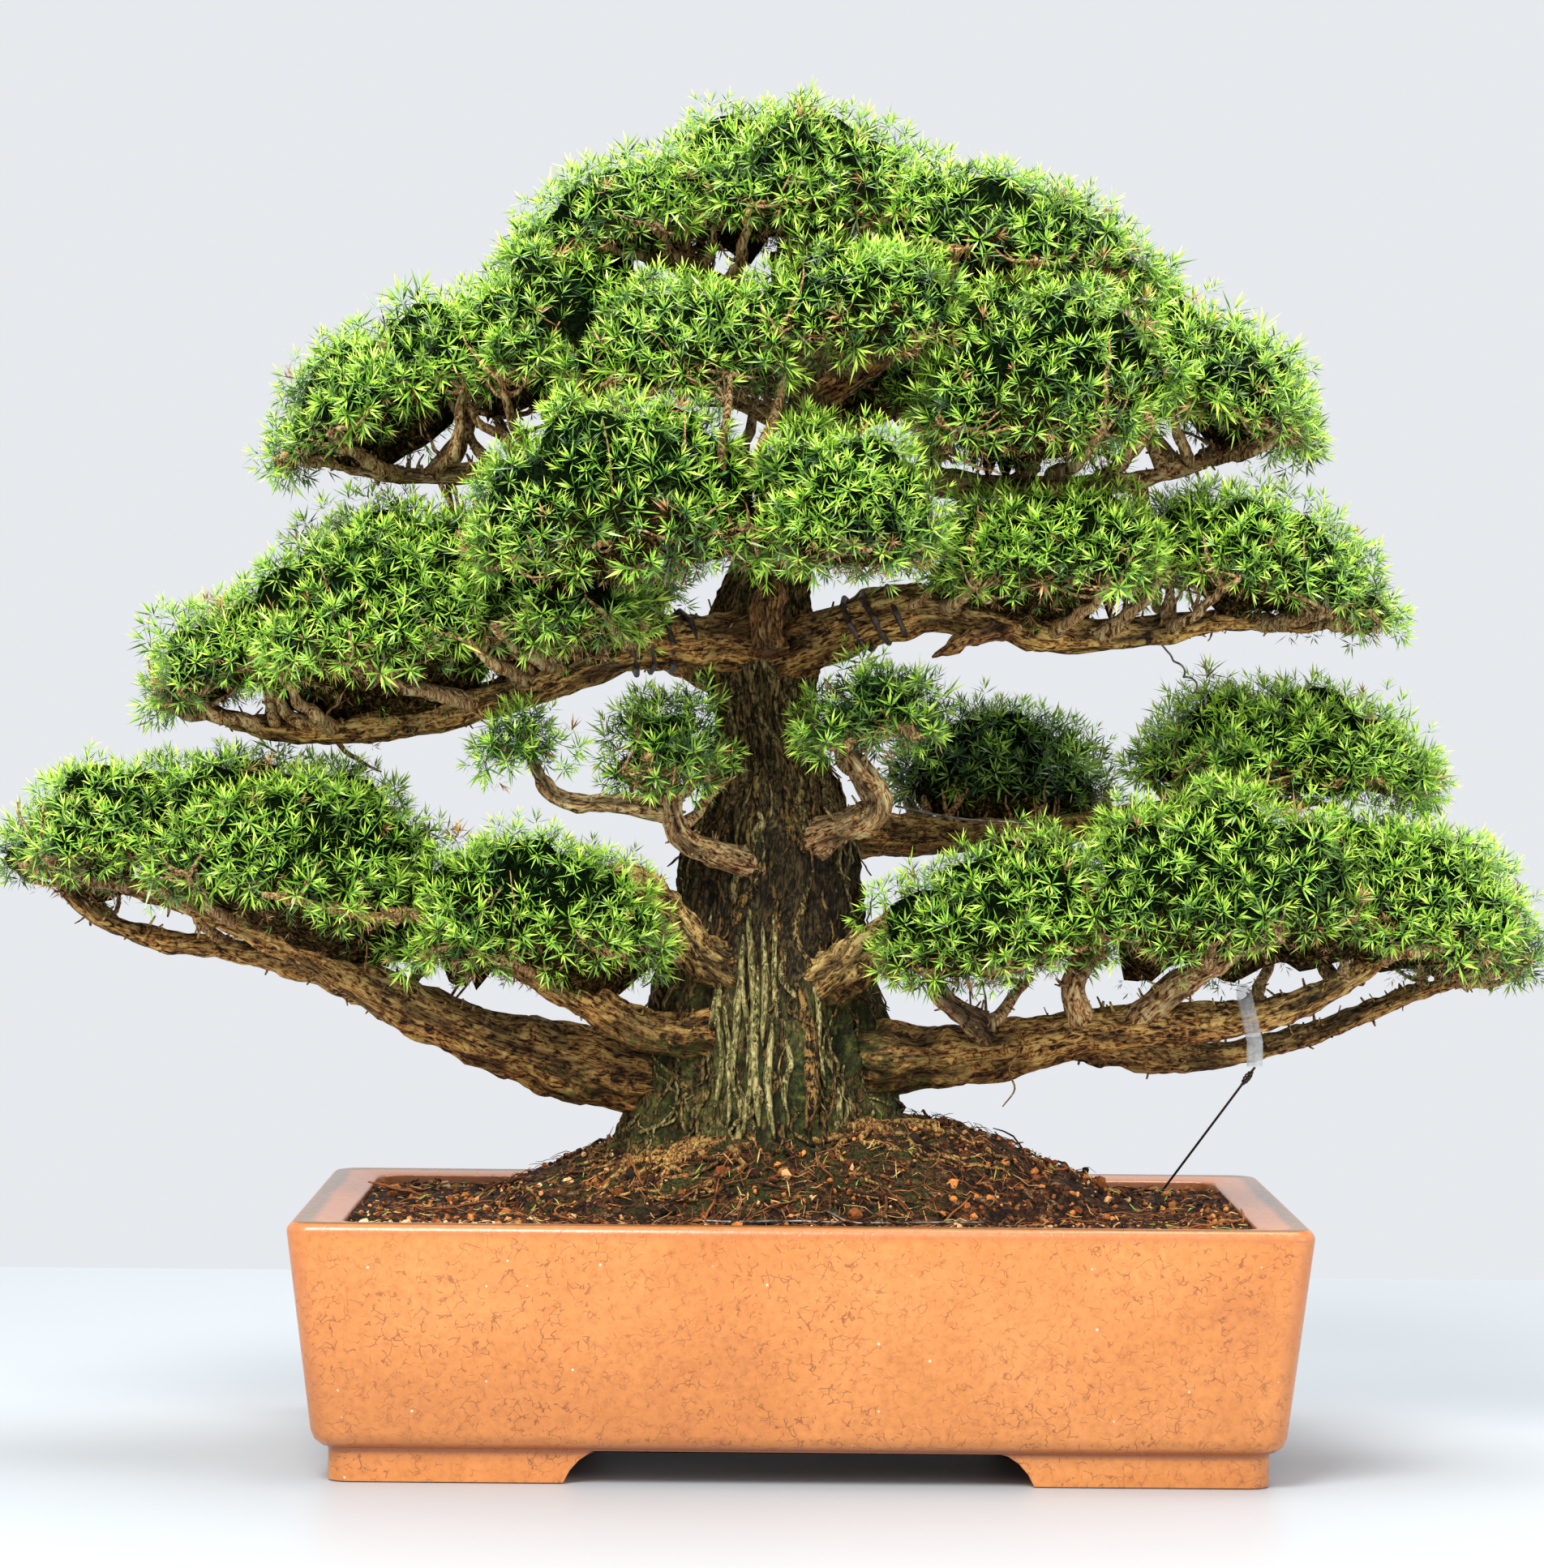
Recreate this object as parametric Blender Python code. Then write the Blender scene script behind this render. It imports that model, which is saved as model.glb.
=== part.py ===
"""A bonsai tree in a rectangular glazed pot: pot, drain screens, soil, trunk, branches, foliage and wires.

Metres, +Z up. The origin is under the middle of the whole object, on the surface it stands on. Looking
along +Y the tree shows its front, with +X to the right. The tree is laid out from the pot's centre at
rim height, in millimetres, and placed() turns such a point into a world one.
"""

import math

import bmesh
import bpy
import numpy as np

MM = 0.001
GAP = 0.0004  # clearance between pieces that touch

# Place of the pot's centre: the crown reaches further to one side than to the other
POT_X = 0.0145
POT_Y = 0.0045

# Pot
POT_LENGTH = 0.500
POT_DEPTH = 0.320
POT_HEIGHT = 0.128
FOOT_HEIGHT = 0.016
WALL_LEAN = 0.0125  # each wall's base stands this far inside its rim
WALL = 0.010
FLOOR = 0.012
LIP_WIDTH = 0.026
LIP_THICKNESS = 0.010
RIM_ROUND = 0.005
BASE_ROUND = 0.009
CORNER_ROUND = 0.011
FOOT_INSET = 0.007
FOOT_WALL = 0.026
FOOT_LENGTH = 0.1215
SIDE_FOOT_LENGTH = 0.085
FOOT_CURVE = 0.012
DRAIN_DIAMETER = 0.026
DRAIN_SPACING = 0.230
SCREEN_SIZE = 0.042
SCREEN_THICKNESS = 0.0016

# Soil
SOIL_DROP = 0.004  # soil level below the rim
MOUND_HEIGHT = 0.043
MOUND_HALF_X = 0.170
MOUND_HALF_Y = 0.118
MOUND_SHOULDER = 0.40  # share of the mound that is level, round the trunk
MOUND_FULLNESS = 0.85  # under 1, the mound's sides bulge
MOUND_X = 0.006
MOUND_Y = 0.006

# Trunk and branches
TRUNK_WIDTH_SCALE = 1.0
TRUNK_DEPTH_SHARE = 0.86
TRUNK_SIDES = 16
ROOT_LOBES = 5
ROOT_LOBE_SHARE = 0.13
BRANCH_THICKNESS_SCALE = 1.0
TIP_TAPER = 0.85  # over 1, a branch keeps its thickness for longer before it tapers
ROOT_NARROWING = 0.55  # a branch starts this much thinner, so that its end stays inside the wood it grows from

# Foliage
PAD_SPREAD = 1.0
PAD_SIDES = 12
PAD_RINGS = 7
PAD_LUMP = 0.045
PAD_FULLNESS = 0.86  # under 1, the shoulders of a pad stand out more than a ball's

# Wires
GUY_DIAMETER = 0.0013
TIE_DIAMETER = 0.0011
TRAINING_DIAMETER = 0.0032
TRAINING_TURNS = 3
SLEEVE_DIAMETER = 0.008
SLEEVE_DROP = 0.012
GUY_PLACE = 0.625  # share of the low right branch at which the sleeve sits on it
GUY_ANCHOR = (191, 120)  # where the wire enters the soil
GUY_DEPTH = 0.008
TIE_FROM = 0.68  # share of the middle right branch
TIE_TO = 0.83  # share of the rear right branch
TIE_SAG = 0.012

# Trunk stations from the roots up: x, y, z of the middle and half the width
TRUNK = [
    (-18, 8, -32, 92),
    (-19, 8, 0, 84),
    (-19, 8, 30, 69),
    (-18, 8, 60, 62),
    (-18, 7, 92, 56),
    (-19, 6, 124, 48),
    (-18, 5, 156, 44),
    (-16, 4, 182, 41),
    (-15, 4, 206, 32),
    (-17, 4, 231, 25),
    (-20, 3, 256, 24),
    (-22, 2, 281, 28),
    (-21, 0, 306, 22),
    (-15, -1, 331, 17),
    (-7, -2, 356, 15),
    (1, -3, 381, 13),
    (4, -4, 406, 11.5),
    (-1, -6, 432, 9.5),
    (-8, -8, 458, 7),
    (-13, -10, 484, 5),
]

# Branches: half thickness at the root and at the tip, then the middle line from the root outwards.
# A branch gives way to the trunk and to the branches above it in this list.
BRANCHES = {
    "low_left_branch": (
        (20, 4.5),
        [(-30, 2, 68), (-77, -10, 62), (-118, -20, 70), (-159, -28, 82), (-200, -32, 99),
         (-236, -32, 118), (-271, -28, 135), (-311, -20, 148), (-351, -10, 160)],
    ),
    "low_left_rear_limb": (
        (9, 3.5),
        [(-165, -28, 86), (-190, -6, 93), (-222, 12, 103), (-256, 24, 115), (-292, 30, 123),
         (-330, 28, 128), (-362, 20, 140), (-382, 10, 160)],
    ),
    "low_left_upper_branch": (
        (12.5, 4),
        [(-36, -12, 84), (-76, -46, 87), (-105, -61, 102), (-133, -68, 117), (-162, -70, 131),
         (-188, -68, 144)],
    ),
    "left_stub_branch": (
        (13.5, 5.5),
        [(-24, -8, 104), (-52, -38, 127), (-71, -53, 153), (-90, -60, 168)],
    ),
    "left_front_branch": (
        (9, 3),
        [(-14, -8, 168), (-45, -42, 178), (-62, -58, 187), (-68, -62, 211), (-78, -60, 234),
         (-88, -56, 248)],
    ),
    "right_front_branch": (
        (10.5, 3.2),
        [(-4, -12, 180), (36, -46, 199), (30, -58, 218), (20, -62, 234), (28, -60, 250),
         (42, -58, 262)],
    ),
    "rear_right_branch": (
        (13, 4),
        [(-6, 18, 188), (34, 50, 184), (76, 66, 184), (122, 66, 187), (170, 56, 194),
         (211, 42, 206), (246, 34, 228)],
    ),
    "right_stub_branch": (
        (14.5, 6.5),
        [(-6, -8, 100), (20, -36, 119), (40, -52, 137), (60, -60, 152)],
    ),
    "low_right_branch": (
        (18.5, 4),
        [(0, 2, 76), (51, -14, 73), (98, -28, 78), (141, -36, 88), (184, -42, 93),
         (226, -47, 97), (256, -48, 106), (282, -44, 121), (308, -36, 141)],
    ),
    "low_right_rear_limb": (
        (9.5, 3),
        [(128, -34, 86), (160, -8, 78), (190, 8, 73), (222, 18, 74), (266, 20, 86),
         (315, 14, 106), (366, 4, 122)],
    ),
    "low_right_upright_limb": (
        (6.5, 3),
        [(143, -36, 90), (137, -54, 112), (144, -61, 138), (142, -62, 164)],
    ),
    "low_right_fork_limb": (
        (8, 3),
        [(168, -40, 92), (190, -57, 114), (213, -64, 128), (227, -64, 147), (227, -60, 168)],
    ),
    "curled_branch": (
        (7.5, 3.2),
        [(96, -27, 80), (88, -52, 94), (71, -61, 106), (66, -63, 120), (71, -62, 134), (82, -60, 148)],
    ),
    "middle_left_branch": (
        (15, 3.5),
        [(-17, -4, 283), (-50, -25, 284), (-79, -36, 283), (-105, -41, 275), (-137, -42, 261),
         (-176, -38, 248), (-214, -32, 240), (-252, -26, 237), (-289, -20, 242), (-318, -12, 253)],
    ),
    "middle_right_branch": (
        (14.5, 3.5),
        [(-17, -4, 276), (12, -27, 287), (36, -38, 297), (65, -41, 302), (97, -41, 296),
         (134, -38, 288), (176, -32, 292), (218, -24, 297), (256, -15, 296), (288, -8, 306)],
    ),
    "upper_left_branch": (
        (9, 3),
        [(-4, -2, 368), (-38, -24, 371), (-88, -34, 374), (-141, -30, 372), (-191, -22, 367),
         (-228, -15, 371), (-258, -8, 383)],
    ),
    "upper_right_branch": (
        (9, 3),
        [(0, -2, 374), (36, -24, 370), (76, -34, 365), (126, -35, 363), (167, -26, 368),
         (201, -16, 378), (239, -8, 392)],
    ),
    "front_branch": (
        (9, 3.5),
        [(-14, -6, 330), (-18, -56, 339), (-36, -96, 343), (-66, -124, 343)],
    ),
    "crown_left_limb": (
        (8, 2.8),
        [(3, -4, 416), (-18, -12, 443), (-45, -15, 464), (-77, -12, 480), (-110, -6, 489)],
    ),
    "crown_right_limb": (
        (8, 2.8),
        [(3, -4, 410), (28, -18, 424), (56, -26, 445), (90, -22, 467), (130, -12, 484)],
    ),
    "rear_left_branch": (
        (11, 3.5),
        [(-20, 6, 256), (-56, 46, 272), (-92, 82, 284), (-134, 104, 292)],
    ),
    "upper_rear_branch": (
        (9, 3),
        [(0, 0, 366), (6, 44, 384), (22, 82, 398), (52, 104, 410)],
    ),
}

# Foliage pads: middle x and y, lowest and highest z, half width, half depth, rise towards +X.
# A pad gives way to the wood and to the pads above it in this list.
PADS = {
    "low_left_tip_pad": (-354, -4, 150, 228, 60, 64, 0.10),
    "low_left_pad": (-256, -12, 122, 234, 88, 104, -0.14),
    "low_left_inner_pad": (-136, -62, 102, 198, 76, 60, 0.02),
    "left_tuft_pad": (-67, -58, 198, 267, 39, 42, 0.05),
    "right_tuft_pad": (34, -60, 218, 285, 42, 42, 0.10),
    "rear_right_pad": (108, 104, 184, 260, 66, 58, -0.10),
    "low_right_upper_pad": (252, 32, 192, 272, 84, 76, -0.05),
    "low_right_inner_pad": (100, -60, 102, 194, 68, 60, 0.12),
    "low_right_pad": (208, -52, 114, 218, 82, 80, 0.05),
    "low_right_outer_pad": (314, -10, 110, 210, 72, 74, -0.24),
    "middle_left_tip_pad": (-296, -8, 242, 312, 46, 66, 0.30),
    "middle_left_pad": (-214, -30, 244, 362, 76, 98, 0.10),
    "middle_left_inner_pad": (-124, -62, 262, 368, 56, 84, 0.06),
    "front_left_pad": (-90, -122, 298, 410, 84, 62, 0.08),
    "front_right_pad": (16, -118, 304, 400, 60, 58, -0.05),
    "middle_right_inner_pad": (122, -56, 292, 376, 68, 76, 0.0),
    "middle_right_pad": (232, -12, 290, 368, 72, 82, -0.24),
    "middle_rear_pad": (-136, 106, 286, 362, 82, 58, 0.05),
    "upper_left_pad": (-212, -12, 372, 456, 64, 82, 0.42),
    "upper_left_inner_pad": (-130, -22, 392, 496, 64, 84, 0.16),
    "upper_centre_pad": (-60, -94, 392, 468, 62, 52, 0.02),
    "upper_right_inner_pad": (112, -78, 360, 474, 70, 70, 0.04),
    "upper_right_pad": (212, -8, 378, 464, 60, 80, -0.32),
    "upper_rear_pad": (50, 112, 394, 492, 118, 62, 0.0),
    "crown_left_pad": (-90, -12, 466, 534, 62, 74, 0.22),
    "crown_pad": (-8, -14, 474, 564, 76, 86, 0.0),
    "crown_right_pad": (104, -6, 450, 534, 82, 86, -0.18),
    "crown_front_pad": (20, -98, 412, 488, 68, 46, 0.0),
}
# Training wires: the branch that each is wound on, and the stretch of it
TRAINING_WIRES = {
    "training_wire_left": ("middle_left_branch", 0.15, 0.27),
    "training_wire_right": ("middle_right_branch", 0.16, 0.29),
}
PAD_UNDER_SHARE = 0.34  # the part of a pad's height that lies below its widest ring

WOOD = ((0.22, 0.11, 0.05), 0.85)
LEAF = ((0.10, 0.30, 0.04), 0.7)
LEAF_SHADE = ((0.05, 0.17, 0.05), 0.75)
GLAZE = ((0.80, 0.33, 0.12), 0.22)
EARTH = ((0.12, 0.05, 0.02), 0.95)
STEEL = ((0.30, 0.30, 0.30), 0.35)
DARK_WIRE = ((0.06, 0.045, 0.04), 0.5)
CLEAR_PLASTIC = ((0.75, 0.78, 0.78), 0.15)
BLACK_PLASTIC = ((0.03, 0.03, 0.03), 0.6)


def start_collections():
    for obj in list(bpy.data.objects):
        bpy.data.objects.remove(obj)
    made = []
    for name in ("bonsai_tree_in_pot", "cutters"):
        group = bpy.data.collections.new(name)
        bpy.context.scene.collection.children.link(group)
        made.append(group)
    return made


PARTS, CUTTERS = start_collections()


def finish_of(look, metallic=0.0):
    """A Principled BSDF material with this colour and roughness."""
    colour, roughness = look
    mat = bpy.data.materials.new("finish")
    mat.use_nodes = True
    shader = mat.node_tree.nodes["Principled BSDF"]
    shader.inputs["Base Color"].default_value = (*colour, 1)
    shader.inputs["Roughness"].default_value = roughness
    shader.inputs["Metallic"].default_value = metallic
    mat.diffuse_color = (*colour, 1)
    return mat


def placed(points):
    """World points, in metres, of points in millimetres from the pot's centre at rim height."""
    return np.asarray(points, float) * MM + np.array([POT_X, POT_Y, POT_HEIGHT])


def new_piece(name, mesh, look, metallic=0.0):
    mesh.name = name
    obj = bpy.data.objects.new(name, mesh)
    PARTS.objects.link(obj)
    mesh.materials.clear()
    mesh.materials.append(finish_of(look, metallic))
    mesh.shade_smooth()
    mesh.set_sharp_from_angle(angle=math.radians(40))
    return obj


def new_cutter(name, mesh):
    obj = bpy.data.objects.new("clearing_" + name, mesh)
    CUTTERS.objects.link(obj)
    obj.hide_render = True
    obj.display_type = "WIRE"
    return obj


def box_of(obj):
    points = np.array([v.co for v in obj.data.vertices])
    return points.min(axis=0), points.max(axis=0)


def boolean(obj, other, operation):
    modifier = obj.modifiers.new(operation.lower(), "BOOLEAN")
    modifier.operation = operation
    modifier.solver = "EXACT"
    modifier.object = other


def carve(obj, clearings):
    """Cuts from obj each clearing whose box meets its own."""
    low, high = box_of(obj)
    for clearing in clearings:
        other_low, other_high = box_of(clearing)
        if (low < other_high).all() and (other_low < high).all():
            boolean(obj, clearing, "DIFFERENCE")


def smooth_path(points, steps):
    """A Catmull-Rom curve through the points, with this many steps between each two. Any number of
    columns works, so a width can run along with the place."""
    points = np.asarray(points, float)
    ends = np.vstack([2 * points[0] - points[1], points, 2 * points[-1] - points[-2]])
    t = np.arange(steps)[:, None] / steps
    spans = []
    for a, b, c, d in zip(ends[:-3], ends[1:-2], ends[2:-1], ends[3:]):
        spans.append(
            0.5 * (2 * b + (c - a) * t + (2 * a - 5 * b + 4 * c - d) * t**2 + (3 * b - a - 3 * c + d) * t**3)
        )
    return np.vstack([*spans, points[-1:]])


def tube_mesh(path, radii, resolution=2):
    """A closed round tube with its own radius at each point, made from a bevelled curve."""
    data = bpy.data.curves.new("tube", "CURVE")
    data.dimensions = "3D"
    data.bevel_depth = 1.0
    data.bevel_resolution = resolution
    data.use_fill_caps = True
    spline = data.splines.new("POLY")
    spline.points.add(len(path) - 1)
    for point, place, radius in zip(spline.points, path, radii):
        point.co = (*place, 1)
        point.radius = radius
    obj = bpy.data.objects.new("tube", data)
    bpy.context.scene.collection.objects.link(obj)
    graph = bpy.context.evaluated_depsgraph_get()
    mesh = bpy.data.meshes.new_from_object(obj.evaluated_get(graph))
    bpy.data.objects.remove(obj)
    shape = bmesh.new()
    shape.from_mesh(mesh)
    bmesh.ops.remove_doubles(shape, verts=shape.verts, dist=1e-6)
    bmesh.ops.triangulate(shape, faces=shape.faces)
    bmesh.ops.recalc_face_normals(shape, faces=shape.faces)
    shape.to_mesh(mesh)
    shape.free()
    return mesh


def loft_mesh(rings):
    """A closed skin over rings of equal length, from the first to the last, with both ends filled."""
    shape = bmesh.new()
    rows = [[shape.verts.new(point) for point in ring] for ring in rings]
    for lower, upper in zip(rows[:-1], rows[1:]):
        for i in range(len(lower)):
            j = (i + 1) % len(lower)
            shape.faces.new((lower[i], lower[j], upper[j], upper[i]))
    shape.faces.new(rows[0][::-1])
    shape.faces.new(rows[-1])
    bmesh.ops.triangulate(shape, faces=shape.faces)
    bmesh.ops.recalc_face_normals(shape, faces=shape.faces)
    mesh = bpy.data.meshes.new("loft")
    shape.to_mesh(mesh)
    shape.free()
    return mesh


def rounded_ring(half_x, half_y, radius, z, corner_steps=4, side_steps=(1, 1)):
    """A rectangle with round corners about the pot's centre, anticlockwise from above."""
    points = []
    for corner, (sx, sy) in enumerate(((1, 1), (-1, 1), (-1, -1), (1, -1))):
        centre = np.array([sx * (half_x - radius), sy * (half_y - radius)])
        start = corner * math.pi / 2
        arc = [
            centre + radius * np.array([math.cos(a), math.sin(a)])
            for a in np.linspace(start, start + math.pi / 2, corner_steps + 1)
        ]
        points.extend(arc)
        along = side_steps[corner % 2]
        step = np.array([-sx * 2 * (half_x - radius), 0.0])
        if corner % 2:
            step = np.array([0.0, -sy * 2 * (half_y - radius)])
        points.extend(arc[-1] + step * k / along for k in range(1, along))
    return [(POT_X + x, POT_Y + y, z) for x, y in points]


def inset_ring(inset, z, radius=CORNER_ROUND, **steps):
    """A ring this far inside the pot's rim."""
    return rounded_ring(POT_LENGTH / 2 - inset, POT_DEPTH / 2 - inset, radius, z, **steps)


def lean_at(z):
    """How far the outer wall stands inside the rim at this height."""
    top = POT_HEIGHT - RIM_ROUND
    return WALL_LEAN * (top - z) / (top - FOOT_HEIGHT)


def quarter(steps):
    """Shares of a quarter turn as (sine, one less cosine)."""
    return [(math.sin(a), 1 - math.cos(a)) for a in np.linspace(0, math.pi / 2, steps + 1)]


INNER_FLOOR = FOOT_HEIGHT + FLOOR
LIP_UNDERSIDE = POT_HEIGHT - LIP_THICKNESS


def make_pot():
    rings = []
    for across, up in quarter(3):
        z = FOOT_HEIGHT + BASE_ROUND * up
        rings.append(inset_ring(lean_at(z) + BASE_ROUND * (1 - across), z))
    for across, up in quarter(4):
        z = POT_HEIGHT - RIM_ROUND + RIM_ROUND * across
        rings.append(inset_ring(RIM_ROUND * up, z))
    for across, up in quarter(2):
        z = POT_HEIGHT - RIM_ROUND / 3 * (1 + up)
        rings.append(inset_ring(LIP_WIDTH - RIM_ROUND / 3 * (1 - across), z))
    rings.append(inset_ring(LIP_WIDTH, LIP_UNDERSIDE))
    inner_top = LIP_UNDERSIDE - WALL
    rings.append(inset_ring(WALL + lean_at(inner_top), inner_top))
    rings.append(inset_ring(WALL + lean_at(INNER_FLOOR) + WALL / 2, INNER_FLOOR))
    pot = new_piece("pot", loft_mesh(rings), GLAZE)

    plinth_top = FOOT_HEIGHT + FLOOR / 2
    foot_outer = lean_at(FOOT_HEIGHT) + FOOT_INSET
    plinth = loft_mesh([inset_ring(foot_outer, 0.0), inset_ring(foot_outer, plinth_top)])
    feet = new_cutter("feet", plinth)
    hollow = [inset_ring(foot_outer + FOOT_WALL, z, FOOT_CURVE) for z in (-0.01, FOOT_HEIGHT)]
    boolean(feet, new_cutter("plinth_hollow", loft_mesh(hollow)), "DIFFERENCE")
    half_x = POT_LENGTH / 2 - foot_outer - FOOT_LENGTH
    half_y = POT_DEPTH / 2 - foot_outer - SIDE_FOOT_LENGTH
    boolean(feet, foot_gap("gap_along_front", half_x, 0), "DIFFERENCE")
    boolean(feet, foot_gap("gap_along_side", half_y, 1), "DIFFERENCE")
    boolean(pot, feet, "UNION")
    for side in (-1, 1):
        x = POT_X + side * DRAIN_SPACING / 2
        boolean(pot, round_cutter("drain_hole", x, POT_Y, DRAIN_DIAMETER / 2, 0.0, 2 * INNER_FLOOR), "DIFFERENCE")
    return pot


def foot_gap(name, half, axis):
    """The gap between two feet: level on top, with ends that sweep out towards the floor."""
    outline = [(-half - FOOT_CURVE / 2, -0.01), (half + FOOT_CURVE / 2, -0.01)]
    outline += [(half + FOOT_CURVE * (0.5 * (1 - s) - c), FOOT_HEIGHT * s) for s, c in quarter(4)]
    outline += [(-u, v) for u, v in outline[:1:-1]]
    reach = POT_LENGTH
    rings = []
    for end in (-reach, reach):
        if axis == 0:
            rings.append([(POT_X + u, POT_Y + end, v) for u, v in outline])
        else:
            rings.append([(POT_X + end, POT_Y + u, v) for u, v in outline])
    return new_cutter(name, loft_mesh(rings))


def round_cutter(name, x, y, radius, low, high):
    shape = bmesh.new()
    bmesh.ops.create_cone(
        shape, cap_ends=True, segments=24, radius1=radius, radius2=radius, depth=high - low
    )
    bmesh.ops.translate(shape, verts=shape.verts, vec=(x, y, (low + high) / 2))
    mesh = bpy.data.meshes.new(name)
    shape.to_mesh(mesh)
    shape.free()
    return new_cutter(name, mesh)


def block_mesh(centre, size):
    shape = bmesh.new()
    bmesh.ops.create_cube(shape, size=1.0)
    bmesh.ops.scale(shape, vec=size, verts=shape.verts)
    bmesh.ops.translate(shape, vec=centre, verts=shape.verts)
    mesh = bpy.data.meshes.new("block")
    shape.to_mesh(mesh)
    shape.free()
    return mesh


def make_screens():
    """A square screen over each drain hole, and the room that the soil leaves for it."""
    clearings = []
    for side, name in ((-1, "drain_screen_left"), (1, "drain_screen_right")):
        z = INNER_FLOOR + GAP + SCREEN_THICKNESS / 2
        centre = (POT_X + side * DRAIN_SPACING / 2, POT_Y, z)
        new_piece(name, block_mesh(centre, (SCREEN_SIZE, SCREEN_SIZE, SCREEN_THICKNESS)), BLACK_PLASTIC)
        room = (SCREEN_SIZE + 2 * GAP, SCREEN_SIZE + 2 * GAP, SCREEN_THICKNESS + 4 * GAP)
        clearings.append(new_cutter(name, block_mesh(centre, room)))
    return clearings


def soil_height(x, y):
    """World height of the soil: level below the rim, rising in a soft cone to the trunk's foot."""
    out = math.hypot((x - POT_X - MOUND_X) / MOUND_HALF_X, (y - POT_Y - MOUND_Y) / MOUND_HALF_Y)
    rise = min(max((1 - out) / (1 - MOUND_SHOULDER), 0), 1)
    return POT_HEIGHT - SOIL_DROP + MOUND_HEIGHT * rise**MOUND_FULLNESS


def make_soil(clearings):
    steps = {"corner_steps": 2, "side_steps": (7, 5)}
    inner_top = LIP_UNDERSIDE - WALL - GAP
    floor_inset = WALL + lean_at(INNER_FLOOR) + WALL / 2 + GAP
    rings = [
        inset_ring(floor_inset, INNER_FLOOR + GAP, **steps),
        inset_ring(WALL + lean_at(inner_top) + 2 * GAP, inner_top, **steps),
        inset_ring(LIP_WIDTH + GAP, LIP_UNDERSIDE - GAP, **steps),
    ]
    edge = inset_ring(LIP_WIDTH + GAP, 0.0, **steps)
    for share in (1, 0.93, 0.82, 0.7, 0.58, 0.46, 0.34, 0.2):
        ring = []
        for x, y, _ in edge:
            px = POT_X + (x - POT_X) * share
            py = POT_Y + (y - POT_Y) * share
            ring.append((px, py, soil_height(px, py)))
        rings.append(ring)
    soil = new_piece("soil", loft_mesh(rings), EARTH)
    carve(soil, clearings)
    return soil


def trunk_mesh(grow=0.0):
    """A loft up the trunk's middle line. Each section is an ellipse, lobed at the roots and smooth above."""
    stations = smooth_path([(x, y, z, w * TRUNK_WIDTH_SCALE) for x, y, z, w in TRUNK], 1)
    turn = np.arange(TRUNK_SIDES) * 2 * math.pi / TRUNK_SIDES
    low, high = TRUNK[0][2], TRUNK[-1][2]
    rings = []
    for x, y, z, width in stations:
        lobing = ROOT_LOBE_SHARE * ((high - z) / (high - low)) ** 3
        radius = width * (1 + lobing * np.cos(ROOT_LOBES * turn + 0.6)) + grow / MM
        ring = np.stack(
            [x + radius * np.cos(turn), y + radius * np.sin(turn) * TRUNK_DEPTH_SHARE, np.full(TRUNK_SIDES, z)], 1
        )
        rings.append(placed(ring))
    ends = np.array([0, 0, grow])
    rings[0] = rings[0] - ends
    rings[-1] = rings[-1] + ends
    return loft_mesh(rings)


def branch_mesh(name, grow=0.0):
    """A branch, or with grow the room that its neighbours leave for it."""
    path, radii = branch_path(name)
    return tube_mesh(lengthened(path, grow), radii + grow)


def lengthened(path, extra):
    """The path with each end moved out by this much."""
    path = path.copy()
    for end, inner in ((0, 1), (-1, -2)):
        out = path[end] - path[inner]
        path[end] += out * extra / np.linalg.norm(out)
    return path


def branch_path(name):
    """Smooth middle line, in metres, and half thickness along it."""
    (root, tip), points = BRANCHES[name]
    path = smooth_path(placed(points), 2)
    along = np.linspace(0, 1, len(path))
    radii = (root + (tip - root) * along**TIP_TAPER) * MM * BRANCH_THICKNESS_SCALE
    radii[0] *= ROOT_NARROWING
    return path, radii


def make_trunk_and_branches():
    """The wood. Returns the clearings that cut the other pieces."""
    new_piece("trunk", trunk_mesh(), WOOD)
    wood = [new_cutter("trunk", trunk_mesh(GAP))]
    for name in BRANCHES:
        branch = new_piece(name, branch_mesh(name), WOOD)
        carve(branch, wood)
        wood.append(new_cutter(name, branch_mesh(name, GAP)))
    return wood


def pad_mesh(name, grow=0.0):
    """A sphere pressed into a cushion: domed above, shallow below, with a wavy edge and a slope along X."""
    x, y, low, high, half_x, half_y, slope = PADS[name]
    under = (high - low) * PAD_UNDER_SHARE
    over = high - low - under
    shape = bmesh.new()
    bmesh.ops.create_uvsphere(shape, u_segments=PAD_SIDES, v_segments=PAD_RINGS, radius=1.0)
    bmesh.ops.triangulate(shape, faces=shape.faces)
    mesh = bpy.data.meshes.new("pad")
    shape.to_mesh(mesh)
    shape.free()
    points = np.array([v.co for v in mesh.vertices])
    turn = np.arctan2(points[:, 1], points[:, 0])
    phase = 0.02 * (x + 2 * y + 3 * high)
    wave = 1 + PAD_LUMP * (np.sin(3 * turn + phase) + 0.6 * np.sin(5 * turn - 2 * phase))
    flat = np.hypot(points[:, 0], points[:, 1])
    full = np.maximum(flat, 0.05) ** (PAD_FULLNESS - 1)
    points[:, 0] *= wave * full * (half_x * PAD_SPREAD + grow / MM)
    points[:, 1] *= wave * full * (half_y * PAD_SPREAD + grow / MM)
    points[:, 2] *= np.where(points[:, 2] > 0, over, under) + grow / MM
    points[:, 2] += slope * points[:, 0]
    points += np.array([x, y, low + under])
    mesh.vertices.foreach_set("co", placed(points).ravel())
    return mesh


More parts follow.
